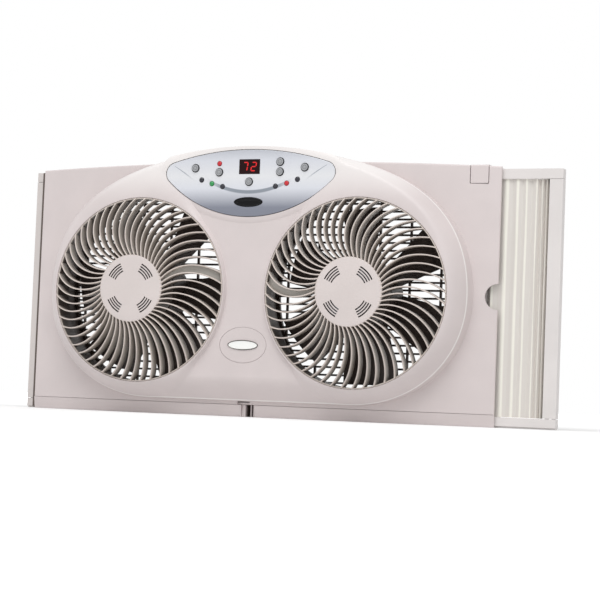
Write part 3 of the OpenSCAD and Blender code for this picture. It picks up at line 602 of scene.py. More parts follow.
def bars_tree():
    """Parallel copies of a bar one metre long, each cut to the chord of a circle."""
    graph, start = new_geometry_tree("Bars across a circle", [
        ("Count", "Int"), ("Pitch", "Float"), ("Radius", "Float"), ("Turn", "Float"),
        ("Centre", "Vector"), ("Finish", "Material")])
    count, radius = start.out("Count"), start.out("Radius")
    index = graph.node("GeometryNodeInputIndex")
    height = (index - (count - 1) / 2) * start.out("Pitch")
    chord = 2 * (radius ** 2 - height * height) ** 0.5
    points = graph.node("GeometryNodePoints", inputs={
        "Count": count, "Position": graph.node("ShaderNodeCombineXYZ", inputs={"Z": height})})
    copies = graph.node("GeometryNodeInstanceOnPoints", inputs={
        "Points": points, "Instance": start.out("Geometry"),
        "Scale": graph.node("ShaderNodeCombineXYZ", inputs={"X": chord, "Y": 1.0, "Z": 1.0})})
    turn = graph.node("ShaderNodeCombineXYZ", inputs={"Y": start.out("Turn")})
    placed = graph.node("GeometryNodeTransform", inputs={
        "Geometry": copies, "Translation": start.out("Centre"), "Rotation": turn})
    return end_geometry_tree(graph, placed, start.out("Finish"))


def repeat(piece, tree, centre, **values):
    """Runs a Geometry Nodes tree about a centre in millimetres, and keeps the plain result."""
    modifier = piece.modifiers.new(tree.name, "NODES")
    modifier.node_group = tree
    set_inputs(modifier, centre=(centre[0] * MM, 0, centre[1] * MM), **values)
    return bake(piece)


def absorb(piece, *others):
    """Moves the meshes of other pieces into one piece."""
    work = bmesh.new()
    work.from_mesh(piece.data)
    for other in others:
        work.from_mesh(other.data)
        bpy.data.objects.remove(other)
    work.to_mesh(piece.data)
    work.free()
    return piece


# ---------------------------------------------------------------- finishes

def moulded(name, colour, roughness=0.42, grain=0.02, size=0.7, mark=None, marked=None):
    """Moulded plastic: a fine grain, and colour and gloss that vary a little.

    A mark is a function of X, Y and Z in millimetres, and 1 where the marked colour shows."""
    paint = Paint(name)
    mottle = paint.noise(55, detail=3).step(0.3, 0.7)
    fine = paint.noise(size, detail=2)
    specks = paint.noise(2.6, detail=1).step(0.62, 0.8)
    base = mottle.mix(linear(colour, 0.97), linear(colour, 1.02))
    base = (specks * 0.25).mix(base, linear(colour, 0.93))
    if mark:
        base = mark(*paint.xyz()).mix(base, linear(marked))
    return paint.finish(base_color=base, roughness=roughness - 0.05 + mottle * 0.06 + fine * 0.04,
                        normal=paint.bump(fine, grain), specular_ior_level=0.42)


def vane_plastic(finish):
    """Plastic of the front grilles, with painted light on the vanes' front edges and painted shade
    that deepens towards their backs.
    """
    paint = Paint("Grille plastic")
    x, y, z = paint.xyz()
    f = sizes(bpy.context.scene.window_fan_fans)
    across, up = abs(x) - FAN_X, z - FAN_Z
    r = (across * across + up * up) ** 0.5
    share = (r - f.dome_flat).maths("MAXIMUM", r - f.dome_flat, 0) / (OPENING_R - f.dome_flat)
    below = y - (RIM_Y - f.dome) - share * share * f.dome
    fine = paint.noise(0.5, detail=2)
    # painted light and shade: paler at the vanes' front edges, darker towards their backs, away
    # from the light
    deep = paint.node("ShaderNodeValToRGB", {"stops": [
        (0.0, linear(finish.grille, 1.12)), (0.06, linear(finish.grille, 1.04)),
        (0.16, linear([0.80, 0.77, 0.735])), (0.5, linear([0.70, 0.66, 0.625])),
        (1.0, linear(finish.deep))]}, {"Fac": below / f.vane_depth})
    wall = r.step(OPENING_R - 3.2, OPENING_R - 1.6) * y.step(RIM_Y + 1.0, RIM_Y + 2.5)
    base = wall.mix(deep, linear(finish.dark))
    base = (fine * 0.1).mix(base, linear(finish.grille, 0.9))
    return paint.finish(base_color=base, roughness=0.36 + fine * 0.06,
                        normal=paint.bump(fine, 0.012), specular_ior_level=0.4)


def pearl_plate(finish):
    """Silver-blue plate whose tone runs from top to bottom, with its curved accents."""
    paint = Paint("Pearl plate")
    x, y, z = paint.xyz()
    low, high = PLATE_LOW.z, PLATE_HIGH.z
    share = (z - low) / (high - low)
    tone = paint.node("ShaderNodeValToRGB", {"stops": [
        (0.0, linear(finish.plate_low)),
        (0.14, linear(finish.plate_low, 1.12)),
        (0.42, linear([0.86, 0.87, 0.90])),
        (0.6, linear(finish.plate_middle)),
        (0.84, linear([0.84, 0.85, 0.88])),
        (1.0, linear(finish.plate_high))]}, {"Fac": share})
    across = abs(x)
    # the curved band between the two inner lights
    arc = high - 50.6 + x * x * 0.0049
    band = (z - arc + 2.9).step(0, 1.6) * (1 - (z - arc).step(1.6, 2.5)) * (1 - across.step(32, 58))
    # the crease that runs in from each tip
    line = high - 19 - (98 - across) * 0.57 - (98 - across) ** 2 * 0.0035
    width = 0.35 + (98 - across) * 0.045
    crease = ((1 - (abs(z - line) / width).step(0.3, 1.2)) * across.step(70, 88)
              * (1 - across.step(97.5, 98.5)))
    tone = (band * 0.85).mix(tone, linear(finish.accent))
    tone = (crease * 0.75).mix(tone, linear(finish.accent, 1.15))
    flake = paint.noise(0.25, detail=1)
    tone = (flake * 0.1).mix(tone, linear([0.97, 0.98, 1.0]))
    # painted shade: the plate's sides, behind its face, are painted dark for the shadow in the gap
    # round the plate
    edge = y.step(PLATE_LOW.y + 0.25, PLATE_LOW.y + 0.45)
    tone = edge.mix(tone, linear([0.20, 0.20, 0.22]))
    return paint.finish(base_color=tone, metallic=0.2, roughness=0.34 + flake * 0.06,
                        normal=paint.bump(flake, 0.01), coat_weight=0.2, coat_roughness=0.2)


def glossy_dark(name, colour, roughness=0.12):
    """Dark glossy plastic with faint smears."""
    paint = Paint(name)
    smear = paint.noise(9, detail=3, stretch=(1, 1, 0.3))
    base = smear.mix(linear(colour, 0.8), linear(colour, 1.2))
    return paint.finish(base_color=base, roughness=roughness + smear * 0.06,
                        specular_ior_level=0.14)


def light_lens(name, colour, glow):
    """A small coloured lens, deeper in tone towards its foot."""
    paint = Paint(name)
    _, y, _ = paint.xyz()
    foot = (y - PLATE_LOW.y).step(-0.8, 0.3)
    cloud = paint.noise(1.2, detail=1)
    base = foot.mix(linear(colour), linear(colour, 0.3))
    base = (cloud * 0.2).mix(base, linear(colour, 1.3))
    return paint.finish(base_color=base, roughness=0.16 + cloud * 0.05, specular_ior_level=0.4,
                        emission_color=base, emission_strength=glow)


def metal(name, colour, roughness, size=0.5, stretch=(1, 1, 1)):
    """Bare metal with fine marks from its making."""
    paint = Paint(name)
    marks = paint.noise(size, detail=3, stretch=stretch)
    base = marks.mix(linear(colour, 0.88), linear(colour, 1.05))
    return paint.finish(base_color=base, metallic=1.0, roughness=roughness + marks * 0.12,
                        normal=paint.bump(marks, 0.008))


def curtain_sheet(finish):
    """Thin vinyl sheet, embossed with a fine grain, with painted shade in its creases and a painted
    highlight on its front folds.
    """
    paint = Paint("Curtain vinyl")
    grain = paint.noise(0.9, detail=2, stretch=(1, 1, 0.6))
    weave = paint.noise(14, detail=3, stretch=(1, 1, 0.25))
    _, y, _ = paint.xyz()
    low, high = node_box("curtain_right")
    deep = (y - low.y) / (high.y - low.y)
    # painted shade: darker towards the back of the pleats, in their creases
    base = deep.step(0.3, 1.0).mix(linear(finish.curtain), linear(finish.curtain, 0.85))
    base = (weave * 0.4).mix(base, linear(finish.curtain, 0.95))
    # painted highlight along the front of each fold
    base = (1 - deep.step(0.03, 0.1)).mix(base, linear([0.98, 0.97, 0.93]))
    return paint.finish(base_color=base, roughness=0.5 + grain * 0.1, sheen_weight=0.15,
                        normal=paint.bump(grain, 0.05))


def circuit_board():
    """Green board with its copper tracks under the lacquer, and its dark parts."""
    paint = Paint("Circuit board")
    _, y, _ = paint.xyz()
    tracks = abs(paint.noise(11, detail=0, stretch=(1, 1, 3)) - 0.5).step(0.02, 0.035)
    low, high = node_box("control_board")
    parts = (y - high.y + 8.2).step(0, 0.05) + (1 - (y - low.y).step(0.9, 0.95))
    board = tracks.mix(linear([0.28, 0.55, 0.30]), linear([0.10, 0.36, 0.20]))
    base = parts.mix(board, linear([0.12, 0.12, 0.13]))
    return paint.finish(base_color=base, roughness=0.35 + tracks * 0.1,
                        normal=paint.bump(tracks, 0.03), coat_weight=0.3)


def finishes():
    """Every material of the fan, made once and then found by name."""
    finish = bpy.context.scene.window_fan_finish
    s = sizes(bpy.context.scene.window_fan_shell)
    ridge = SHELL_BACK - s.edge_depth - s.crown - s.bulge_depth + s.ridge_depth + 0.2
    button_front = node_box("power_button")[0].y
    made = {
        # painted highlight: the bulge's ridge line and the top of the hump are painted paler, where
        # light catches them
        "housing": lambda: moulded(
            "Housing plastic", finish.housing, mark=lambda x, y, z:
            (1 - abs(y - ridge).step(0.5, 1.2)) * 0.8
            + (1 - (y - ridge).step(-3, 0)) * z.step(250, 305) * 0.7, marked=finish.ridge),
        "frames": lambda: moulded("Extender plastic", finish.frames, 0.46, 0.025, 0.8),
        # painted shade: the left bar's plastic is a darker copy of the frames' plastic, and a thin
        # dark line is painted where the panel's edge shades it
        "closed_bar": lambda: moulded(
            "Sealed bar plastic", finish.closed_bar, 0.46, 0.025, 0.8, lambda x, y, z:
            x.step(-HALF_WIDTH - 5, -HALF_WIDTH - 4.7)
            * (1 - x.step(-HALF_WIDTH - 1.8, -HALF_WIDTH - 1.5)), finish.dark),
        # painted shade: the socket darkens with depth, towards the dark plastic's colour
        "socket": lambda: moulded(
            "Socket plastic", finish.housing, mark=lambda x, y, z:
            y.step(SOCKET_LOW.y + 1, SOCKET_LOW.y + 8), marked=finish.dark),
        "grille": lambda: vane_plastic(finish),
        # painted shade: inside its slots, behind its face, the cap is painted dark
        "cap": lambda: moulded(
            "Cap plastic", finish.cap, 0.38, 0.012, 0.5, lambda x, y, z:
            y.step(CAP_LOW.y + 1.3, CAP_LOW.y + 1.9) * (1 - abs(abs(x) - FAN_X).step(35, 37)),
            finish.dark),
        "strut": lambda: moulded("Channel plastic", finish.strut, 0.42, 0.012, 0.5),
        "dark": lambda: moulded("Dark plastic", finish.dark, 0.5, 0.02, 0.8),
        "impeller": lambda: moulded(
            "Impeller plastic", [part * 0.85 for part in finish.dark], 0.4, 0.015),
        "plate": lambda: pearl_plate(finish),
        # painted shade: the groove in a button's face and its sides, deeper than the face, are
        # painted dark
        "button": lambda: moulded(
            "Button plastic", finish.button, 0.34, 0.01, 0.3, lambda x, y, z:
            (y - button_front).step(0.15, 0.4) * 0.9, [0.22, 0.22, 0.24]),
        "window": lambda: glossy_dark("Display window", (0.13, 0.03, 0.035)),
        "sensor": lambda: glossy_dark("Sensor window", (0.07, 0.07, 0.08), 0.08),
        "digits": lambda: light_lens("Display digits", [0.82, 0.12, 0.13], 0.5),
        "dark_light": lambda: light_lens("Unlit light", (0.17, 0.17, 0.21), 0.0),
        "red_light": lambda: light_lens("Red light", finish.red, 0.06),
        "green_light": lambda: light_lens("Green light", finish.green, 0.06),
        "chrome": lambda: metal("Bright rim", (0.44, 0.43, 0.42), 0.1, 3.0),
        "badge": lambda: metal("Badge face", (0.93, 0.93, 0.92), 0.3, 0.4, (0.2, 1, 4)),
        "steel": lambda: metal("Steel", (0.66, 0.67, 0.69), 0.24),
        "motor": lambda: metal("Motor can", (0.56, 0.57, 0.59), 0.34, 0.6, (1, 0.1, 1)),
        "board": circuit_board,
        "inlet": lambda: moulded("Inlet rubber", (0.11, 0.11, 0.11), 0.6, 0.03, 0.6),
        "curtain": lambda: curtain_sheet(finish),
    }

    class Shelf(dict):
        def __missing__(self, key):
            self[key] = made[key]()
            return self[key]

    return Shelf()


MATERIALS = {}


def material(key):
    """One of the fan's materials, made at its first use."""
    if "shelf" not in MATERIALS:
        MATERIALS["shelf"] = finishes()
    return MATERIALS["shelf"][key]


# ---------------------------------------------------------------- shell forms

def crown_depth(s, x):
    """Depth of the panel's front face at a distance from its middle."""
    radius = (HALF_WIDTH ** 2 + s.crown ** 2) / (2 * s.crown)
    front = SHELL_BACK - s.edge_depth - s.crown
    return front + radius - math.sqrt(radius ** 2 - min(abs(x), HALF_WIDTH) ** 2)


def top_height(s, x):
    """Height of the panel's top edge at a distance from its middle."""
    radius = (HALF_WIDTH ** 2 + s.top_rise ** 2) / (2 * s.top_rise)
    return s.corner_height + s.top_rise - radius + math.sqrt(radius ** 2 - x * x)


def panel_form(s, inset, back, rounding):
    """The bowed front panel as a solid, drawn in by an inset."""
    columns = [(x * (HALF_WIDTH - inset - rounding) / 48, 0.0) for x in range(-48, 49)]
    for angle in (30, 60, 90) if rounding else ():
        out, sink = math.sin(math.radians(angle)), 1 - math.cos(math.radians(angle))
        edge = HALF_WIDTH - inset - rounding + rounding * out
        columns = [(-edge, rounding * sink), *columns, (edge, rounding * sink)]
    rings = []
    for x, sink in columns:
        front = crown_depth(s, x) + inset + sink
        low, high = SEAM_Z + inset, top_height(s, x) - inset
        top_round = min(1.4 * rounding, back - front - 0.4)
        low_round = min(0.35 * rounding, back - front - 0.4)
        ring = [(x, back, low)]
        for i in range(4):
            angle = math.pi / 2 * i / 3
            ring.append((x, front + low_round * (1 - math.sin(angle)),
                         low + low_round * (1 - math.cos(angle)) + 0.0001 * i))
        for i in range(6):
            angle = math.pi / 2 * i / 5
            ring.append((x, front + top_round * (1 - math.cos(angle)),
                         high - top_round * (1 - math.sin(angle)) + 0.0001 * i))
        ring.append((x, back, high + 0.001))
        rings.append(ring)
    return loft(rings)


def bulge_outline(s, thick, step=0.0):
    """Outline of the bulge, drawn in by a wall and by a step that is smaller over the hump.

    A step outwards, below 0, widens the two ends only. The shares give the slope its width: it is
    narrow over the hump and at the shoulders, and widest along the foot."""
    hump_share, shoulder_share, foot_share = 0.2, 0.45, 1.4
    centre = FAN_X - s.bulge_inset
    end = s.bulge_end - thick - step
    inwards = max(step, 0)
    down = FAN_Z - SEAM_Z - s.ledge - thick - foot_share * inwards
    top = HUMP_TOP - FAN_Z - thick - hump_share * inwards
    shoulder = s.bulge_up - thick - shoulder_share * inwards
    rise = top - shoulder
    radius = (centre ** 2 + rise ** 2) / (2 * rise)
    half = [(centre * i / 8, -down) for i in range(8)]
    # each end is a lower and an upper quarter, and the upper one carries on the hump's arc
    arc_lean = centre / math.sqrt(radius ** 2 - centre ** 2)
    for power, high, lean, start in (
            (2.08, down, 0, -90), (2.05, shoulder, arc_lean, 0)):
        for i in range(28):
            t = math.radians(start + 90 * i / 28)
            x = end * abs(math.cos(t)) ** (2 / power)
            z = high * math.copysign(abs(math.sin(t)) ** (2 / power), math.sin(t))
            half.append((centre + x, z - lean * x * (1 - x / end)))
    for i in range(24, -1, -1):
        x = centre * i / 24
        half.append((x, top - radius + math.sqrt(radius ** 2 - x * x)))
    mirrored = [(-x, z) for x, z in half[-2:0:-1]]
    return [(x, FAN_Z + z) for x, z in half + mirrored]


def bulge_form(s, thick, back, slices):
    """The bulge as a solid from slices of (step, depth), front last."""
    rings = [at_depth(bulge_outline(s, thick, slices[0][0]), back)]
    rings += [at_depth(bulge_outline(s, thick, step), depth + thick) for step, depth in slices]
    return loft(rings)


def bulge_slices(s, bulge_front, fillet=0.0):
    """Steps and depths of the bulge: a flank or fillet, a crisp ridge, then a slope to its face."""
    ridge = bulge_front + s.ridge_depth
    slices = [(0.3, ridge + 9), (0.7, ridge + 1.3)]
    if fillet:
        foot = crown_depth(s, FAN_X - s.bulge_inset + s.bulge_end + fillet) + 0.5
        slices = [(0.7 - fillet * (1 - k / 10), foot - (foot - ridge - 1.3) * (k / 10) ** 2.4)
                  for k in range(11)]
    slices += [(0.85, ridge + 0.5), (1.15, ridge + 0.05)]
    for i in range(1, 10):
        u = i / 9
        slices.append((1.2 + s.slope * u, ridge - s.ridge_depth * math.sin(math.pi / 2 * u)))
    return slices


def ease(value, low, high):
    """Rises smoothly from 0 at low to 1 at high."""
    u = min(max((value - low) / (high - low), 0), 1)
    return u * u * (3 - 2 * u)


def reach_to(outline, centre, angle):
    """Distance from a point to an outline round it, at an angle."""
    dx, dz = math.cos(angle), math.sin(angle)
    for (ax, az), (bx, bz) in zip(outline, outline[1:] + outline[:1]):
        ax, az, bx, bz = ax - centre[0], az - centre[1], bx - centre[0], bz - centre[1]
        first, last = dx * az - dz * ax, dx * bz - dz * bx
        if first <= 0 < last:
            share = first / (first - last)
            r = (ax + (bx - ax) * share) * dx + (az + (bz - az) * share) * dz
            if r > 0:
                return r
    raise RuntimeError("the outline does not go round the point")


def rim_form(s, side, bulge_front):
    """The rim of one opening: a narrow lip inwards, and a wide slope to the ridge outwards."""
    centre = (side * FAN_X, FAN_Z)
    levels = [(bulge_outline(s, 0, step), depth) for step, depth in bulge_slices(s, bulge_front)
              if step > 1]
    rings = []
    for i in range(256):
        angle = math.tau * i / 256
        walls = [(reach_to(outline, centre, angle) - OPENING_R, y) for outline, y in levels]
        reach = walls[0][0]
        # 0 towards the other opening, 1 away from it
        outer = ease(side * math.cos(angle), -0.75, -0.15)
        start = 1.2 * (1 - outer)
        width = s.rim_width + (min(reach, s.rim_reach) - s.rim_width) * outer
        round_end = 1 - outer * (1 - ease(reach, 24, 40))

        def face_at(d):
            """Depth of the bulge's own surface."""
            for (inner, deep), (beyond, shallow) in zip(walls[1:], walls):
                if d >= inner:
                    return deep + (shallow - deep) * min((d - inner) / (beyond - inner), 1)
            return bulge_front

        def depth_at(d):
            """Depth of the rim, which dips under the bulge's surface at its end."""
            u = min(max((d - start) / (width - start), 0), 1)
            fall = u ** 2.2 + (ease(u, 0, 1) - u ** 2.2) * round_end
            return (face_at(d) - (face_at(0.8) - RIM_Y) * (1 - fall)
                    + 1.2 * ease(d, width, width + 1.6))

        ring = [(0.0, DUCT_LOW.y), (0.0, RIM_Y + 0.8)]
        ring += [(0.8 * (1 - math.cos(t)), RIM_Y + 0.8 * (1 - math.sin(t)))
                 for t in (math.radians(30), math.radians(60))]
        steps = [0.8 + (width - 0.8) * k / 18 for k in range(19)]
        steps += [width + 0.5, width + 1, width + 1.6]
        ring += [(d, depth_at(d)) for d in steps]
        ends = [s.wall + (width + 1.6 - s.wall) * k / 8 for k in range(8, -1, -1)]
        ring += [(d, depth_at(d) + 3) for d in ends]
        ring += [(s.wall, DUCT_LOW.y)]
        rings.append([(centre[0] + (OPENING_R + d) * math.cos(angle), y,
                       centre[1] + (OPENING_R + d) * math.sin(angle)) for d, y in ring])
    return loft(rings, closed=True)


def lens_outline(s, inset=0.0):
    """Outline of the control plate: two arcs that meet in rounded tips."""
    high = (0, PLATE_HIGH.z - s.plate_upper)
    low = (0, PLATE_LOW.z + s.plate_lower)
    upper, lower = s.plate_upper - s.plate_tip, s.plate_lower - s.plate_tip
    apart = low[1] - high[1]
    rise = (upper ** 2 - lower ** 2 + apart ** 2) / (2 * apart)
    tip = (math.sqrt(upper ** 2 - rise ** 2), high[1] + rise)
    top = math.atan2(tip[1] - high[1], tip[0])
    bottom = math.atan2(tip[1] - low[1], tip[0])
    round_tip = s.plate_tip - inset
    points = circle_points(high, s.plate_upper - inset, 64, top, math.pi - 2 * top, ends=True)
    points += circle_points((-tip[0], tip[1]), round_tip, 20, math.pi - top,
                            top - bottom, ends=True)[1:-1]
    points += circle_points(low, s.plate_lower - inset, 64, -math.pi - bottom,
                            math.pi + 2 * bottom, ends=True)
    points += circle_points(tip, round_tip, 20, bottom, top - bottom, ends=True)[1:-1]
    return points


# ---------------------------------------------------------------- operators

class BuildFrontShell(bpy.types.Operator):
    """Bowed panel, bulge and hump, with the rims, seats, notches and windows"""
    bl_idname = "window_fan.front_shell"
    bl_label = "Front shell"

    def execute(self, context):
        s = sizes(context.scene.window_fan_shell)
        c = sizes(context.scene.window_fan_controls)
        panel_front = SHELL_BACK - s.edge_depth - s.crown
        bulge_front = panel_front - s.bulge_depth
        shell = add_piece("Front_shell", panel_form(s, 0, SHELL_BACK, s.edge_round))
        combine(shell, "UNION",
                bulge_form(s, 0, SHELL_BACK, bulge_slices(s, bulge_front, s.fillet)))
        cut(shell, panel_form(s, s.wall, SHELL_BACK + 1, 0))
        cut(shell, bulge_form(s, s.wall, SHELL_BACK - s.wall, bulge_slices(s, bulge_front)))
        for side in SIDES.values():
            hole = circle_points((side * FAN_X, FAN_Z), OPENING_R + 0.3, 256)
            cut(shell, prism(hole, RIM_Y - 5, 0))
        ridge = bulge_front + s.ridge_depth
        core = [(0.0, SHELL_BACK - 4), (0.7, ridge + 1.3), (1.2, ridge), (1.2, RIM_Y - 5)]
        # the low pod round the control plate: its outset at each depth, from its foot to the plate
        pod = loft([at_depth(lens_outline(c, -outset), y) for outset, y in (
            (9.5, bulge_front + 1.2), (8.5, bulge_front + 0.1), (7, bulge_front - 0.5),
            (5.2, bulge_front - 1.0), (3.2, bulge_front - 1.3), (1, bulge_front - 1.4))])
        rims = [rim_form(s, side, bulge_front) for side in SIDES.values()]
        for form in (pod, *rims):
            part = add_piece("Rim", form)
            combine(part, "INTERSECT", bulge_form(s, 0, SHELL_BACK, core))
            raised = ([tuple(v.co / MM) for v in part.data.vertices],
                      [tuple(face.vertices) for face in part.data.polygons])
            bpy.data.objects.remove(part)
            combine(shell, "UNION", raised)
        for side in SIDES.values():
            hole = circle_points((side * FAN_X, FAN_Z), OPENING_R, 256)
            cut(shell, prism(hole, RIM_Y - 5, 0))
        # seat and window of the control plate, and the seat of the badge
        cut(shell, prism(lens_outline(c, -0.55), RIM_Y - 5, PLATE_HIGH.y))
        cut(shell, prism(lens_outline(c, 5), RIM_Y - 6, bulge_front + 8))
        low, high = node_box("badge_plate")
        middle = middle_of(low, high)
        field = ellipse_points(c.badge_field[0] + 0.35, c.badge_field[1] + 0.35, 128, middle)
        cut(shell, prism(field, RIM_Y - 1, high.y))
        # finger notch, slot over the sill socket and window of the extender lock
        notch = circle_points((HALF_WIDTH, FAN_Z + 0.8), s.notch_radius, 96)
        cut(shell, prism(notch, panel_front, 0))
        cut(shell, prism(rounded_box(-13, 3, 10, SEAM_Z + s.ledge, [0.6] * 4),
                         panel_front - 1, panel_front + 4))
        low, high = node_box("extender_lock")
        window = rounded_box(low.x - 0.7, high.x + 0.7, low.z - 0.7, high.z + 20, [1.2, 0, 0, 1.2])
        cut(shell, prism(window, panel_front - 1, 5))
        tidy_mesh(shell.data)
        finish_piece(smooth(shell, 28), material("housing"), "housing", "housing", "front_shell")
        return {"FINISHED"}


class BuildSillParts(bpy.types.Operator):
    """Leaning strips along the foot, and the ribbed socket between them"""
    bl_idname = "window_fan.sill_parts"
    bl_label = "Sill strips and socket"

    def execute(self, context):
        s = sizes(context.scene.window_fan_shell)
        for name, side in SIDES.items():
            low, high = node_box("sill_strip_" + name)
            rings = []
            near = min(abs(low.x), abs(high.x))
            for i in range(49):
                x = side * (near + (HALF_WIDTH - near) * i / 48)
                front, back = crown_depth(s, x), high.y
                foot = min(front + s.strip_lean, back - 0.4)
                lean = foot - front
                ring = [(x, back, low.z), (x, foot + 0.5, low.z), (x, foot + 0.1, low.z + 0.5)]
                for angle in (0, 45, 90):
                    t = math.radians(angle)
                    ring.append((x, front + 0.4 * (1 - math.cos(t)) + lean * 0.06,
                                 high.z - 0.4 * (1 - math.sin(t))))
                ring.append((x, back, high.z))
                rings.append(ring)
            strip = add_piece("Sill_strip_" + name, loft(rings))
            finish_piece(smooth(strip, 40), material("housing"), "housing", "housing",
                         "sill_strip_" + name)
        socket = dressed_copy("Sill_socket", "sill_socket", 0.4)
        finish_piece(socket, material("socket"), "housing", "housing", "sill_socket")
        return {"FINISHED"}


class BuildRearShell(bpy.types.Operator):
    """Rounded shell behind the ducts, with its screw wells and the cord's inlet"""
    bl_idname = "window_fan.rear_shell"
    bl_label = "Rear shell"

    def execute(self, context):
        s = sizes(context.scene.window_fan_shell)
        low, high = REAR_LOW, REAR_HIGH

        def slice_at(inset, y):
            radius = max(s.rear_round - inset, 1.0)
            return at_depth(rounded_box(low.x + inset, high.x - inset, low.z + min(inset, 0.6),
                                        high.z - inset, [1.5, radius, radius, 1.5]), y)

        rings = [slice_at(0, low.y)]
        for angle in range(0, 91, 15):
            t = math.radians(angle)
            rings.append(slice_at(s.rear_round * (1 - math.cos(t)),
                                  high.y - s.rear_round * (1 - math.sin(t))))
        shell = add_piece("Rear_shell", loft(rings))
        inside = rounded_box(low.x + s.wall, high.x - s.wall, low.z + s.wall, high.z - s.wall,
                             [1, 4.5, 4.5, 1])
        cut(shell, prism(inside, low.y - 1, high.y - s.wall))
        outer = DUCT_R + DUCT_WALL
        for side in SIDES.values():
            centre = (side * FAN_X, FAN_Z)
            # a shallow step round each duct, then the duct's own hole
            cut(shell, prism(circle_points(centre, outer + 3, 192), high.y - 0.8, high.y + 2))
            cut(shell, prism(circle_points(centre, outer + 0.3, 192), high.y - 9, high.y + 5))
        screws_low, screws_high = node_box("housing_screws")
        head, boss_r, well_r, hole_r, inlet_r = 3.8, 6.2, 4.6, 2.3, 7.2
        for x in (screws_low.x + head, 0, screws_high.x - head):
            for z in (screws_low.z + head, screws_high.z - head):
                boss = prism(circle_points((x, z), boss_r, 48), low.y, high.y - 0.5)
                combine(shell, "UNION", boss)
                well = circle_points((x, z), well_r, 48)
                cut(shell, prism(well, screws_high.y - 2.4, high.y + 1))
                cut(shell, prism(circle_points((x, z), hole_r, 48), low.y - 1, high.y))
        inlet = middle_of(*node_box("cord_inlet"))
        cut(shell, prism(circle_points(inlet, inlet_r, 64), high.y - 9, high.y + 1))
        tidy_mesh(shell.data)
        finish_piece(smooth(shell, 30), material("housing"), "housing", "housing", "rear_shell")
        return {"FINISHED"}


class BuildChannels(bpy.types.Operator):
    """Channels that the extender rails run in, and the posts between them"""
    bl_idname = "window_fan.channels"
    bl_label = "Channels and posts"

    def execute(self, context):
        # the bottom channel's roof is notched at its ends, where the curtains fold up
        low, high = node_box("curtain_right")
        roof = node_box("bottom_channel")[1]
        notches = []
        for side in SIDES.values():
            x0, x1 = sorted((side * (low.x - 0.4), side * (roof.x + 1)))
            notch = rounded_box(x0, x1, roof.z - 2.3, roof.z + 1, [0.1] * 4)
            notches.append(prism(notch, low.y - 0.6, high.y + 0.6))
        for node, cuts in (("bottom_channel", notches), ("top_channel", ())):
            piece = dressed_copy(node.capitalize(), node, 0.35, cuts)
            finish_piece(piece, material("housing"), "housing", "housing", node)
        for node in ("side_post_left", "centre_post", "side_post_right"):
            piece = dressed_copy(node.capitalize(), node, 0.5)
            finish_piece(piece, material("frames"), "housing", "extender_frame", node)
        return {"FINISHED"}


def dome_depth(f, r):
    """Depth of the grille's dome at a radius."""
    share = max(r - f.dome_flat, 0) / (OPENING_R - f.dome_flat)
    return RIM_Y - f.dome * (1 - share ** 2)


def vane_line(f, inner, outer, count):
    """Points of one vane's middle line about its fan axis, from the cup to the rim."""
    start = Vector((inner * math.cos(f.vane_lead), inner * math.sin(f.vane_lead)))
    end = Vector((outer, 0))
    chord = end - start
    half = chord.length / 2
    side = Vector((chord.y, -chord.x)) / (2 * half)
    centre = (start + end) / 2 + math.sqrt(f.vane_arc ** 2 - half ** 2) * side
    first = math.atan2(start.y - centre.y, start.x - centre.x)
    last = math.atan2(end.y - centre.y, end.x - centre.x)
    return circle_points(centre, f.vane_arc, count, first, last - first, ends=True)


def vane_form(f, inner, outer):
    """One vane: an upright blade that follows its arc, with a rounded front edge."""
    line = vane_line(f, inner, outer, 22)
    rings = []
    for i, (x, z) in enumerate(line):
        before, after = line[max(i - 1, 0)], line[min(i + 1, len(line) - 1)]
        along = Vector((after[0] - before[0], after[1] - before[1])).normalized()
        across = Vector((-along.y, along.x))
        front = dome_depth(f, math.hypot(x, z))
        half = f.vane_thickness / 2
        section = [(0.72, f.vane_depth), (-0.72, f.vane_depth), (-1, 1.1), (-0.86, 0.45),
                   (-0.45, 0.08), (0.45, 0.08), (0.86, 0.45), (1, 1.1)]
        rings.append([(x + across.x * half * u, front + v, z + across.y * half * u)
                      for u, v in section])
    return loft(rings)


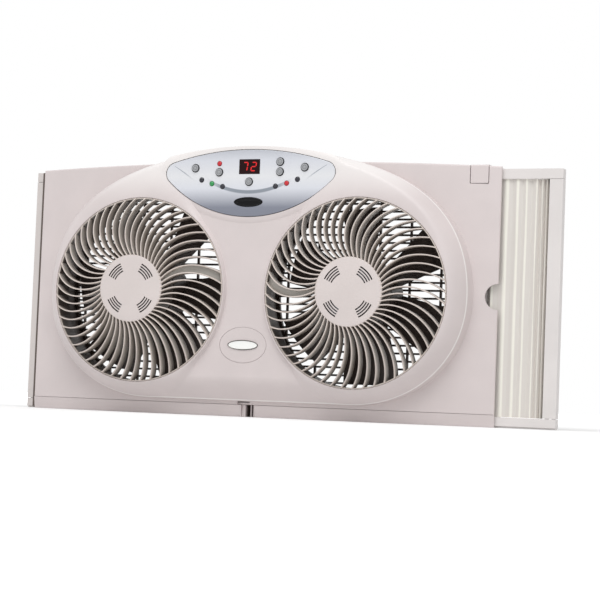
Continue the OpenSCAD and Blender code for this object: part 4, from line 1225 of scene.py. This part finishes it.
class BuildFrontGrilles(bpy.types.Operator):
    """Domed grilles of curved vanes, each with the channel of its motor's lead"""
    bl_idname = "window_fan.front_grilles"
    bl_label = "Front grilles"

    def execute(self, context):
        f = sizes(context.scene.window_fan_fans)
        ring = OPENING_R - 0.3
        cup = (CAP_HIGH.x - CAP_LOW.x) / 2 - 1
        tree = ring_tree()
        step = math.tau / f.vanes
        for name, side in SIDES.items():
            # turn of the first vane, and the number of the gap that has a floor
            first, gap = (f.left_turn, 1) if side < 0 else (f.right_turn, 24)
            centre = (side * FAN_X, FAN_Z)
            low = node_box("front_grille_" + name)[0]
            grille = add_piece("Front_grille_" + name, vane_form(f, cup - 1.2, ring - 0.6))
            repeat(grille, tree, centre, count=f.vanes, first_angle=first,
                   finish=material("grille"))
            # floor of the lead channel, between two vanes
            rings = []
            for x, z in vane_line(f, cup - 1.2, ring - 0.6, 22):
                angle, r = math.atan2(z, x), math.hypot(x, z)
                depth = dome_depth(f, r) + f.vane_depth
                arc = [(r * math.cos(angle + first + step * (gap + u)),
                        r * math.sin(angle + first + step * (gap + u))) for u in (0, 0.5, 1)]
                rings.append([(centre[0] + x, depth - 6, centre[1] + z) for x, z in arc]
                             + [(centre[0] + x, depth - 4, centre[1] + z) for x, z in arc[::-1]])
            strut = add_piece("Lead_channel_" + name, loft(rings))
            finish_piece(smooth(strut, 40), material("strut"), "housing", "grille",
                         "front_grille_" + name)
            hoop = add_piece("Hoop", lathe([
                (ring - 1.6, RIM_Y + 0.9), (ring - 1.1, RIM_Y + 0.4), (ring - 0.4, RIM_Y + 0.4),
                (ring, RIM_Y + 0.9), (ring, DUCT_LOW.y - 0.3),
                (ring - 1.6, DUCT_LOW.y - 0.3)], centre))
            front = low.y + 2.2
            floor = RIM_Y + 16
            motor_cup = add_piece("Cup", lathe([
                (cup - 2.5, front), (cup - 0.4, front), (cup, front + 0.4), (cup, floor - 1.5),
                (cup - 1.5, floor), (12, floor), (12, floor - 2.5),
                (cup - 2.5, floor - 2.5)], centre))
            absorb(grille, hoop, motor_cup)
            finish_piece(smooth(grille, 35), material("grille"), "housing", "grille",
                         "front_grille_" + name)
        return {"FINISHED"}


class BuildHubCaps(bpy.types.Operator):
    """Round caps over the motors, with four groups of curved slots"""
    bl_idname = "window_fan.hub_caps"
    bl_label = "Hub caps"

    def execute(self, context):
        f = sizes(context.scene.window_fan_fans)
        for name in SIDES:
            low, high = node_box("hub_cap_" + name)
            centre = middle_of(low, high)
            r = (high.x - low.x) / 2
            front, back = low.y, low.y + 3.2
            profile = [(0.0, front), (r * 0.3, front + 0.15), (r * 0.6, front + 0.45),
                       (r * 0.85, front + 0.9), (r - 2.2, front + 1.1), (r - 1.2, front + 1.35),
                       (r - 0.4, front + 1.9), (r, front + 2.7), (r, back), (r - 4.0, back),
                       (r - 4.0, high.y), (r - 5.4, high.y), (r - 5.4, back), (0.0, back)]
            cap = add_piece("Hub_cap_" + name, lathe(profile, centre, 144))
            slots = []
            half, span = f.slot_width / 2, f.slot_span
            for radius in f.slot_rows:
                for turn in (45, 135, 225, 315):
                    start = math.radians(turn) - span / 2
                    outline = circle_points(centre, radius + half, 25, start, span, ends=True)
                    outline += circle_points(centre, radius - half, 25, start + span, -span,
                                             ends=True)
                    slots.append(prism(outline, front - 2, back + 2))
            cut(cap, joined(*slots))
            tidy_mesh(cap.data)
            finish_piece(smooth(cap, 35), material("cap"), "housing", "grille",
                         "hub_cap_" + name)
        return {"FINISHED"}


def blade_form(f, hub, tip, middle):
    """One twisted blade, with thin rounded edges."""
    rings = []
    for i in range(17):
        share = i / 16
        r = hub - 1.5 + (tip - hub + 1.5) * share
        chord = f.blade_chord * (0.76 + 0.24 * share)
        pitch = math.radians(21 * share - 45)
        ring = []
        places = [-0.5 + j / 14 for j in range(15)]
        for sign in (1, -1):
            for place in places if sign > 0 else places[::-1]:
                c = chord * place
                t = sign * 1.1 * max(1 - (2 * abs(place)) ** 4, 0.12)
                camber = 0.09 * chord * (1 - (2 * place) ** 2)
                along = c * math.cos(pitch) - (t + camber) * math.sin(pitch)
                deep = c * math.sin(pitch) + (t + camber) * math.cos(pitch)
                ring.append((r * math.cos(along / r), middle + deep, -r * math.sin(along / r)))
        rings.append(ring)
    return loft(rings)


class BuildImpellers(bpy.types.Operator):
    """Impellers with their twisted blades, on steel shafts behind a nut"""
    bl_idname = "window_fan.impellers"
    bl_label = "Impellers"

    def execute(self, context):
        f = sizes(context.scene.window_fan_fans)
        tree = ring_tree()
        for name, side in SIDES.items():
            low, high = node_box("impeller_" + name)
            centre = (side * FAN_X, FAN_Z)
            tip = (high.x - low.x) / 2
            hub, skirt = f.hub_radius, low.y + f.skirt
            boss_end = node_box("impeller_nut_" + name)[0].y
            impeller = add_piece("Impeller_" + name,
                                 blade_form(f, hub, tip - 0.3, low.y + f.blade_middle))
            repeat(impeller, tree, centre, count=f.blades,
                   first_angle=f.left_blade if side < 0 else f.right_blade,
                   finish=material("impeller"))
            boss = add_piece("Boss", lathe([
                (4.1, low.y), (hub - 3, low.y), (hub - 1, low.y + 0.8), (hub, low.y + 2.6),
                (hub, skirt), (hub - 2.5, skirt), (hub - 2.5, low.y + 6), (9, low.y + 6),
                (9, boss_end - 0.1), (4.1, boss_end - 0.1)], centre, 96))
            rib = add_piece("Rib", prism([(8, -0.8), (hub - 2, -0.8), (hub - 2, 0.8), (8, 0.8)],
                                         low.y + 5, boss_end - 3))
            repeat(rib, tree, centre, count=8, first_angle=0.2, finish=material("impeller"))
            absorb(impeller, boss, rib)
            finish_piece(smooth(impeller, 40), material("impeller"), name + "_fan",
                         "dark_plastic", "impeller_" + name)
            nut = dressed_copy("Impeller_nut_" + name, "impeller_nut_" + name, 0.5)
            finish_piece(nut, material("steel"), name + "_fan", "steel", "impeller_nut_" + name)
        return {"FINISHED"}


class BuildDucts(bpy.types.Operator):
    """Dark ducts, with the guards of straight bars at their backs"""
    bl_idname = "window_fan.ducts"
    bl_label = "Ducts and rear guards"

    def execute(self, context):
        f = sizes(context.scene.window_fan_fans)
        tree = bars_tree()
        for name, side in SIDES.items():
            low, high = node_box("duct_" + name)
            centre = (side * FAN_X, FAN_Z)
            flare = RIM_Y + f.flare
            wide = flare + DUCT_R - OPENING_R
            duct = add_piece("Duct_" + name, lathe([
                (OPENING_R, low.y), (OPENING_R + DUCT_WALL, low.y), (OPENING_R + DUCT_WALL, flare),
                (DUCT_R + DUCT_WALL, wide), (DUCT_R + DUCT_WALL, high.y), (DUCT_R + 0.6, high.y),
                (DUCT_R, high.y - 0.6), (DUCT_R, wide), (OPENING_R, flare)], centre))
            finish_piece(smooth(duct, 30), material("dark"), "housing", "dark_plastic",
                         "duct_" + name)
            low, high = node_box("rear_grille_" + name)
            radius = DUCT_R - 0.3
            guard = add_piece("Rear_guard_" + name, lathe([
                (radius - 3.7, low.y + 0.8), (radius - 2.9, low.y), (radius, low.y),
                (radius, high.y), (radius - 2.9, high.y), (radius - 3.7, high.y - 0.8)], centre))
            for pitch, turn, front, deep, width in (
                    (f.bar_pitch, 0.0, low.y + 0.1, 2.9, f.bar_width / 2),
                    (f.post_pitch, math.pi / 2, low.y + 2, 2.9, f.post_width / 2)):
                count = 2 * int((DUCT_R - 4) / pitch) + 1
                half = 0.5 / MM
                section = [(front, -width * 0.8), (front + 0.5, -width), (front + deep, -width),
                           (front + deep, width), (front + 0.5, width), (front, width * 0.8)]
                bar = add_piece("Bar", loft([[(x, y, z) for y, z in section]
                                             for x in (-half, half)]))
                repeat(bar, tree, centre, count=count, pitch=pitch * MM,
                       radius=(radius - 2) * MM, turn=turn, finish=material("dark"))
                absorb(guard, bar)
            finish_piece(smooth(guard, 35), material("dark"), "housing", "dark_plastic",
                         "rear_grille_" + name)
        return {"FINISHED"}


class BuildControlPlate(bpy.types.Operator):
    """Lens-shaped plate with its holes, the display and the sensor window"""
    bl_idname = "window_fan.control_plate"
    bl_label = "Control plate"

    def execute(self, context):
        c = sizes(context.scene.window_fan_controls)
        front, back = PLATE_LOW.y, PLATE_HIGH.y
        plate = add_piece("Control_plate", loft(
            [at_depth(lens_outline(c, inset), y) for inset, y in (
                (0.2, back), (0, back - 0.2), (0, front + 0.9), (0.12, front + 0.5),
                (0.4, front + 0.2), (0.9, front))]))
        for node in BUTTONS:
            low, high = node_box(node)
            hole = (high.x - low.x) / 2 - FLANGE_HOLD
            cut(plate, prism(circle_points(middle_of(low, high), hole, 48), front - 2, back + 6))
        for middle in light_places("dark_indicators", "red_indicators", "green_indicator"):
            cut(plate, prism(circle_points(middle, LIGHT_R + 0.15, 40), front - 2, back + 6))
        low, high = node_box("display_window")
        cut(plate, prism(
            rounded_box(low.x - 0.15, high.x + 0.15, low.z - 0.15, high.z + 0.15, [0.5] * 4),
            front - 2, back + 6))
        low, high = node_box("sensor_window")
        middle = middle_of(low, high)
        oval = ((high.x - low.x) / 2, (high.z - low.z) / 2)
        cut(plate, prism(
            ellipse_points(oval[0] + 0.15, oval[1] + 0.15, 96, middle), front - 2, back + 6))
        tidy_mesh(plate.data)
        finish_piece(smooth(plate, 30), material("plate"), "housing", "control_plate",
                     "control_plate")
        sensor = add_piece("Sensor_window", loft(
            [at_depth(ellipse_points(oval[0] - inset, oval[1] - inset, 96, middle), y)
             for inset, y in ((0, high.y), (0, low.y + 0.7), (0.35, low.y + 0.3),
                              (1.2, low.y + 0.08), (2.6, low.y), (3.8, low.y + 0.1),
                              (4.6, low.y + 0.6))]))
        finish_piece(smooth(sensor, 50), material("sensor"), "housing", "sensor_window",
                     "sensor_window")
        low, high = node_box("display_window")
        window = add_piece("Display_window", prism(
            rounded_box(low.x, high.x, low.z, high.z, [0.45] * 4), low.y, high.y))
        finish_piece(smooth(window, 35, bevel=0.15), material("window"), "housing",
                     "display_window", "display_window")
        self.digits(c)
        return {"FINISHED"}

    @staticmethod
    def digits(c):
        """Two lit digits of slanted bars with pointed ends."""
        low, high = node_box("display_digits")
        middle = (low.z + high.z) / 2
        w, h, t = c.digit_width, c.digit_height / 2, c.stroke / 2
        level = {0: h, 3: -h, 6: 0}
        upright = {1: (w / 2, h / 2), 2: (w / 2, -h / 2), 4: (-w / 2, -h / 2), 5: (-w / 2, h / 2)}
        parts = []
        for place, lit in ((-c.digit_gap / 2, (0, 1, 2)), (c.digit_gap / 2, (0, 1, 6, 4, 3))):
            for bar in lit:
                if bar in level:
                    cx, cz, reach = 0, level[bar], w / 2 - 0.25
                    outline = [(-reach, 0), (-reach + t, -t), (reach - t, -t), (reach, 0),
                               (reach - t, t), (-reach + t, t)]
                else:
                    (cx, cz), reach = upright[bar], h / 2 - 0.25
                    outline = [(0, -reach), (t, -reach + t), (t, reach - t), (0, reach),
                               (-t, reach - t), (-t, -reach + t)]
                outline = [(place + cx + x + 0.16 * (cz + z), middle + cz + z) for x, z in outline]
                parts.append(prism(outline, low.y, high.y + 0.05))
        digits = add_piece("Display_digits", joined(*parts))
        finish_piece(smooth(digits, 30), material("digits"), "housing", "display_digits",
                     "display_digits")


BUTTONS = ("power_button", "mode_button", "speed_button", "temp_up_button", "temp_down_button",
           "timer_button")
FLANGE_HOLD = 0.4  # by how much a button's flange is wider than its hole, all round
LIGHT_R = 3.1  # radius of an indicator light


def light_places(*nodes):
    """Middle points of the indicator lights, from the loose parts of their nodes."""
    found = []
    for node in nodes:
        work = bmesh.new()
        work.from_mesh(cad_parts[node].data)
        bmesh.ops.remove_doubles(work, verts=work.verts, dist=1e-6)
        left = set(work.verts)
        while left:
            stack, part = [left.pop()], []
            while stack:
                vertex = stack.pop()
                part.append(vertex.co / MM)
                for edge in vertex.link_edges:
                    other = edge.other_vert(vertex)
                    if other in left:
                        left.remove(other)
                        stack.append(other)
            xs, zs = [p.x for p in part], [p.z for p in part]
            found.append(((min(xs) + max(xs)) / 2, (min(zs) + max(zs)) / 2))
        work.free()
    return sorted(found)


class BuildButtons(bpy.types.Operator):
    """Six push buttons, each with a rounded edge and a ring groove in its face"""
    bl_idname = "window_fan.buttons"
    bl_label = "Push buttons"

    def execute(self, context):
        for node in BUTTONS:
            low, high = node_box(node)
            centre = middle_of(low, high)
            flange = (high.x - low.x) / 2
            r = flange - 1.2
            shelf = PLATE_HIGH.y + 0.3
            button = add_piece(node.capitalize(), lathe([
                (0, low.y + 0.15), (r * 0.4, low.y + 0.1), (r * 0.52, low.y + 0.35),
                (r * 0.64, low.y + 0.1), (r - 0.8, low.y), (r - 0.4, low.y + 0.15),
                (r, low.y + 0.6), (r, shelf), (flange, shelf), (flange, shelf + 1),
                (r, shelf + 1), (r, high.y), (0, high.y)], centre, 64))
            finish_piece(smooth(button, 40), material("button"), node, "button", node)
        return {"FINISHED"}


class BuildIndicators(bpy.types.Operator):
    """Small domed lights: four unlit, two red and one green"""
    bl_idname = "window_fan.indicators"
    bl_label = "Indicator lights"

    def execute(self, context):
        for node, key in (("dark_indicators", "dark_light"), ("red_indicators", "red_light"),
                          ("green_indicator", "green_light")):
            low = node_box(node)[0]
            lights = []
            for centre in light_places(node):
                profile = [(0, low.y - 0.55)]
                for angle in (18, 36, 54, 72, 90):
                    t = math.radians(angle)
                    profile.append((LIGHT_R * math.sin(t), low.y + 1.35 - 1.9 * math.cos(t)))
                profile += [(LIGHT_R, PLATE_HIGH.y + 1), (0, PLATE_HIGH.y + 1)]
                lights.append(lathe(profile, centre, 40))
            piece = add_piece(node.capitalize(), joined(*lights))
            slot = node.replace("indicators", "indicator")
            finish_piece(smooth(piece, 50), material(key), "housing", slot, node)
        return {"FINISHED"}


class BuildBadge(bpy.types.Operator):
    """Oval field with a bare badge in a bright rim"""
    bl_idname = "window_fan.badge"
    bl_label = "Badge"

    def execute(self, context):
        c = sizes(context.scene.window_fan_controls)
        low, high = node_box("badge_plate")
        middle = middle_of(low, high)
        a, b = c.badge_field
        field = add_piece("Badge_field", loft(
            [at_depth(ellipse_points(a - inset, b - inset, 128, middle), y)
             for inset, y in ((0, high.y), (0, low.y + 0.5), (0.15, low.y + 0.15), (0.5, low.y))]))
        finish_piece(smooth(field, 30), material("housing"), "housing", "housing", "badge_plate")
        low, high = node_box("badge")
        a, b = (high.x - low.x) / 2, (high.z - low.z) / 2
        rings = [(0, high.y), (0, low.y + 0.7), (0.15, low.y + 0.25), (0.5, low.y),
                 (0.9, low.y + 0.1), (1.15, low.y + 0.5), (1.3, low.y + 0.8), (1.3, high.y)]
        rim = add_piece("Badge_rim", loft(
            [at_depth(ellipse_points(a - inset, b - inset, 128, middle), y) for inset, y in rings],
            closed=True))
        finish_piece(smooth(rim, 50), material("chrome"), "housing", "badge", "badge")
        face = add_piece("Badge_face", loft(
            [at_depth(ellipse_points(a - inset, b - inset, 128, middle), y)
             for inset, y in ((1.2, high.y), (1.2, low.y + 0.62), (2.6, low.y + 0.5),
                              (4, low.y + 0.46))]))
        finish_piece(smooth(face, 50), material("badge"), "housing", "badge", "badge")
        return {"FINISHED"}


class BuildLock(bpy.types.Operator):
    """Sliding lock that hooks over the top edge"""
    bl_idname = "window_fan.lock"
    bl_label = "Extender lock"

    def execute(self, context):
        low, high = node_box("extender_lock")
        outline = rounded_box(low.x, high.x, low.z, high.z - 1.9, [0.8, 0.4, 0.4, 0.8])
        tab = add_piece("Extender_lock", prism(outline, low.y, SHELL_BACK))
        hook = [(low.y, high.z - 5), (low.y, high.z - 1.6), (low.y + 0.5, high.z - 0.5),
                (low.y + 1.6, high.z), (high.y - 1, high.z), (high.y, high.z - 0.8),
                (high.y, high.z - 1.9), (SHELL_BACK, high.z - 1.9), (SHELL_BACK, high.z - 5)]
        combine(tab, "UNION", loft([[(x, y, z) for y, z in hook] for x in (low.x, high.x)]))
        finish_piece(smooth(tab, 35, bevel=0.3), material("housing"), "lock", "housing",
                     "extender_lock")
        return {"FINISHED"}


class BuildExtenders(bpy.types.Operator):
    """Rails and end bars of the two side extenders"""
    bl_idname = "window_fan.extenders"
    bl_label = "Extender frames"

    def execute(self, context):
        e = sizes(context.scene.window_fan_extenders)
        for name in SIDES:
            body = name + "_extender"
            key = "closed_bar" if name == "left" else "frames"
            for node in ("top_rail_", "bottom_rail_"):
                rail = dressed_copy((node + name).capitalize(), node + name, 0.7)
                finish_piece(rail, material(key), body, "extender_frame", node + name)
            bar = dressed_copy("End_bar_" + name, "end_bar_" + name, e.edge_round)
            finish_piece(bar, material(key), body, "extender_frame", "end_bar_" + name)
        return {"FINISHED"}


def fold_path(folds, rounding):
    """A path in X and Y through a sheet's folds, with each fold rounded."""
    folds = [Vector(fold) for fold in folds]
    path = [folds[0]]
    for before, here, after in zip(folds, folds[1:], folds[2:]):
        a = here + (before - here).normalized() * rounding
        b = here + (after - here).normalized() * rounding
        for step in (0, 0.25, 0.5, 0.75, 1):
            path.append(a * (1 - step) ** 2 + here * 2 * step * (1 - step) + b * step ** 2)
    path.append(folds[-1])
    dense = [path[0]]
    for point in path[1:]:
        last = dense[-1]
        parts = max(1, round((point - last).length / 2.6))
        dense += [last + (point - last) * k / parts for k in range(1, parts + 1)]
    return dense


def curtain_form(path, low_z, high_z, sheet, sway):
    """A standing sheet along a path, with folds that wander a little over its height."""
    normals = []
    for i in range(len(path)):
        along = (path[min(i + 1, len(path) - 1)] - path[max(i - 1, 0)]).normalized()
        normals.append(Vector((-along.y, along.x)) * sheet / 2)
    rings = []
    for level in range(33):
        z = low_z + (high_z - low_z) * level / 32
        offsets = [Vector((sway * math.sin(z / 37 + 0.35 * i) * math.sin(math.pi * level / 32),
                           0.25 * sway * math.sin(z / 23 + 0.9 * i))) for i in range(len(path))]
        ring = [p + n + o for p, n, o in zip(path, normals, offsets)]
        ring += [p - n + o for p, n, o in zip(path, normals, offsets)][::-1]
        rings.append([(p.x, p.y, z) for p in ring])
    return loft(rings)


class BuildCurtains(bpy.types.Operator):
    """Pleated vinyl curtains between the posts and the end bars"""
    bl_idname = "window_fan.curtains"
    bl_label = "Curtains"

    def execute(self, context):
        e = sizes(context.scene.window_fan_extenders)
        for name, side in SIDES.items():
            low, high = node_box("curtain_" + name)
            foot = node_box("bottom_rail_" + name)[1].z + 0.3
            head = node_box("top_rail_" + name)[0].z - 0.3
            middle = (low.y + high.y) / 2
            front, back = middle - e.pleat_depth / 2, middle + e.pleat_depth / 2
            if side > 0:
                # drawn out: wide shallow pleats, narrower and deeper towards the bar
                folds = [(low.x + 0.3, back)]
                for ridge, after in zip(e.ridges, e.ridges[1:] + [high.x - 0.6]):
                    share = 0.2 + 0.7 * ((ridge - low.x) / (high.x - low.x)) ** 3
                    folds += [(ridge, front), ((ridge + after) / 2, front + (back - front) * share)]
                folds += [(high.x, front)]
                path = fold_path(folds, 0.8)
                sheet, sway = e.sheet, 0.25
            else:
                # folded flat beside the post, and thin
                count = 20
                near, far = high.x - 4.3, low.x
                path = fold_path([(near - (near - far) * i / count, front if i % 2 else back)
                                  for i in range(count + 1)], 0.1)
                sheet, sway = 0.02, 0.0
            piece = add_piece("Curtain_" + name, curtain_form(path, foot, head, sheet, sway))
            smooth(piece, 60)
            run = sum((b - a).length for a, b in zip(path, path[1:]))
            piece.data.materials.clear()
            piece.data.materials.append(material("curtain"))
            near = min(abs(low.x), abs(high.x)) + 4
            far = max(abs(low.x), abs(high.x))
            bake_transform(piece)
            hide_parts("curtain_" + name)
        return {"FINISHED"}


class DressNodes(bpy.types.Operator):
    """Materials of the frame nodes that stay as they are"""
    bl_idname = "window_fan.dress_nodes"
    bl_label = "Hidden parts"

    def execute(self, context):
        shown = {"motor_left": "motor", "motor_right": "motor", "motor_screws": "steel",
                 "housing_screws": "steel", "fan_shaft_left": "steel", "fan_shaft_right": "steel",
                 "control_board": "board", "cord_inlet": "inlet"}
        for node, key in shown.items():
            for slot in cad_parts[node].material_slots:
                slot.material = material(key)
        return {"FINISHED"}


class BuildStage(bpy.types.Operator):
    """Camera, soft lamp, white surroundings and the floor"""
    bl_idname = "window_fan.stage"
    bl_label = "Stage"

    def execute(self, context):
        t = context.scene.window_fan_stage
        scene = context.scene
        scene.view_settings.view_transform = "Standard"
        self.camera(scene, t)
        self.lamp("Key", t.key_at, (0, 0, 0.15), t.key_size, t.key)
        self.surroundings(scene, t)
        self.floor()
        return {"FINISHED"}

    @staticmethod
    def camera(scene, t):
        data = bpy.data.cameras.new("Camera")
        data.sensor_width = 36
        data.lens = t.lens
        data.shift_x, data.shift_y = t.shift
        forward = Vector((-math.sin(t.heading) * math.cos(t.pitch),
                          math.cos(t.heading) * math.cos(t.pitch), math.sin(t.pitch)))
        right = Vector((math.cos(t.heading), math.sin(t.heading), 0))
        up = right.cross(forward)
        turned_right = right * math.cos(t.roll) - up * math.sin(t.roll)
        turned_up = right * math.sin(t.roll) + up * math.cos(t.roll)
        turn = Matrix((turned_right, turned_up, -forward)).transposed().to_4x4()
        camera = bpy.data.objects.new("Camera", data)
        camera.matrix_world = Matrix.Translation(Vector(t.camera_at)) @ turn
        scene.collection.objects.link(camera)
        scene.camera = camera

    @staticmethod
    def lamp(name, place, aim, size, power):
        data = bpy.data.lights.new(name, "AREA")
        data.shape = "RECTANGLE"
        data.size, data.size_y = size
        data.energy = power
        lamp = bpy.data.objects.new(name, data)
        look = Vector(aim) - Vector(place)
        lamp.matrix_world = (Matrix.Translation(Vector(place))
                             @ look.to_track_quat("-Z", "Y").to_matrix().to_4x4())
        bpy.context.scene.collection.objects.link(lamp)

    @staticmethod
    def seen_directly(graph):
        """1 where the camera, a mirror or clear glass looks, and 0 for light."""
        path = graph.node("ShaderNodeLightPath", output="Is Camera Ray")
        return path.maths("MAXIMUM", path, path.maths(
            "MAXIMUM", path.out("Is Glossy Ray"), path.out("Is Transmission Ray")))

    def surroundings(self, scene, t):
        world = bpy.data.worlds.new("Surroundings")
        scene.world = world
        world.use_nodes = True
        graph = Graph(world.node_tree)
        world.node_tree.nodes.clear()
        light = graph.node("ShaderNodeBackground",
                           inputs={"Color": (1, 1, 1, 1), "Strength": t.sky})
        white = graph.node("ShaderNodeBackground", inputs={"Color": (1, 1, 1, 1), "Strength": 1.0})
        both = graph.node("ShaderNodeMixShader",
                          inputs={0: self.seen_directly(graph), 1: light, 2: white})
        graph.node("ShaderNodeOutputWorld", inputs={"Surface": both})

    def floor(self):
        material = bpy.data.materials.new("Floor")
        material.use_nodes = True
        graph = Graph(material.node_tree)
        material.node_tree.nodes.clear()
        body = graph.node("ShaderNodeBsdfDiffuse", inputs={"Color": (0.86, 0.86, 0.86, 1)})
        # far off, where the lamp no longer reaches, the floor meets the white behind it
        place = graph.node("ShaderNodeSeparateXYZ", inputs={
            0: graph.node("ShaderNodeTexCoord", output="Object")})
        away = (place.out("X") ** 2 + place.out("Y") ** 2) ** 0.5
        glow = graph.node("ShaderNodeEmission", inputs={
            "Color": (1, 1, 1, 1),
            "Strength": self.seen_directly(graph) * (0.2 + 0.7 * away.step(0.4, 1.2))})
        both = graph.node("ShaderNodeAddShader", inputs={0: body, 1: glow})
        graph.node("ShaderNodeOutputMaterial", inputs={"Surface": both})
        floor = add_piece("Floor", (
            [(-9000, -9000, -0.2), (9000, -9000, -0.2), (9000, 9000, -0.2), (-9000, 9000, -0.2)],
            [(0, 1, 2, 3)]))
        floor.data.materials.append(material)


# ---------------------------------------------------------------- add-on

OPERATORS = (BuildStage, BuildFrontShell, BuildSillParts, BuildRearShell, BuildChannels,
             BuildFrontGrilles, BuildHubCaps, BuildImpellers, BuildDucts, BuildControlPlate,
             BuildButtons, BuildIndicators, BuildBadge, BuildLock, BuildExtenders, BuildCurtains,
             DressNodes)
SETTINGS = {
    "window_fan_shell": ShellSettings, "window_fan_fans": FanSettings,
    "window_fan_controls": ControlSettings, "window_fan_extenders": ExtenderSettings,
    "window_fan_finish": FinishSettings, "window_fan_stage": StageSettings}


class WindowFanPanel(bpy.types.Panel):
    """Lists the settings and the pieces of the window fan"""
    bl_idname = "VIEW3D_PT_window_fan"
    bl_label = "Twin Window Fan"
    bl_space_type = "VIEW_3D"
    bl_region_type = "UI"
    bl_category = "Window Fan"

    def draw(self, context):
        for name, group in SETTINGS.items():
            box = self.layout.box()
            box.label(text=group.__doc__)
            for setting in group.__annotations__:
                box.prop(getattr(context.scene, name), setting)
        for operator in OPERATORS:
            self.layout.operator(operator.bl_idname)


def register():
    for group in SETTINGS.values():
        bpy.utils.register_class(group)
    for name, group in SETTINGS.items():
        setattr(bpy.types.Scene, name, PointerProperty(type=group))
    for item in (*OPERATORS, WindowFanPanel):
        bpy.utils.register_class(item)


def unregister():
    for item in (WindowFanPanel, *reversed(OPERATORS)):
        bpy.utils.unregister_class(item)
    for name, group in SETTINGS.items():
        delattr(bpy.types.Scene, name)
        bpy.utils.unregister_class(group)


def main():
    """Builds every piece."""
    register()
    for operator in OPERATORS:
        group, name = operator.bl_idname.split(".")
        getattr(getattr(bpy.ops, group), name)()
    bpy.context.view_layer.update()


if __name__ == "__main__":
    main()
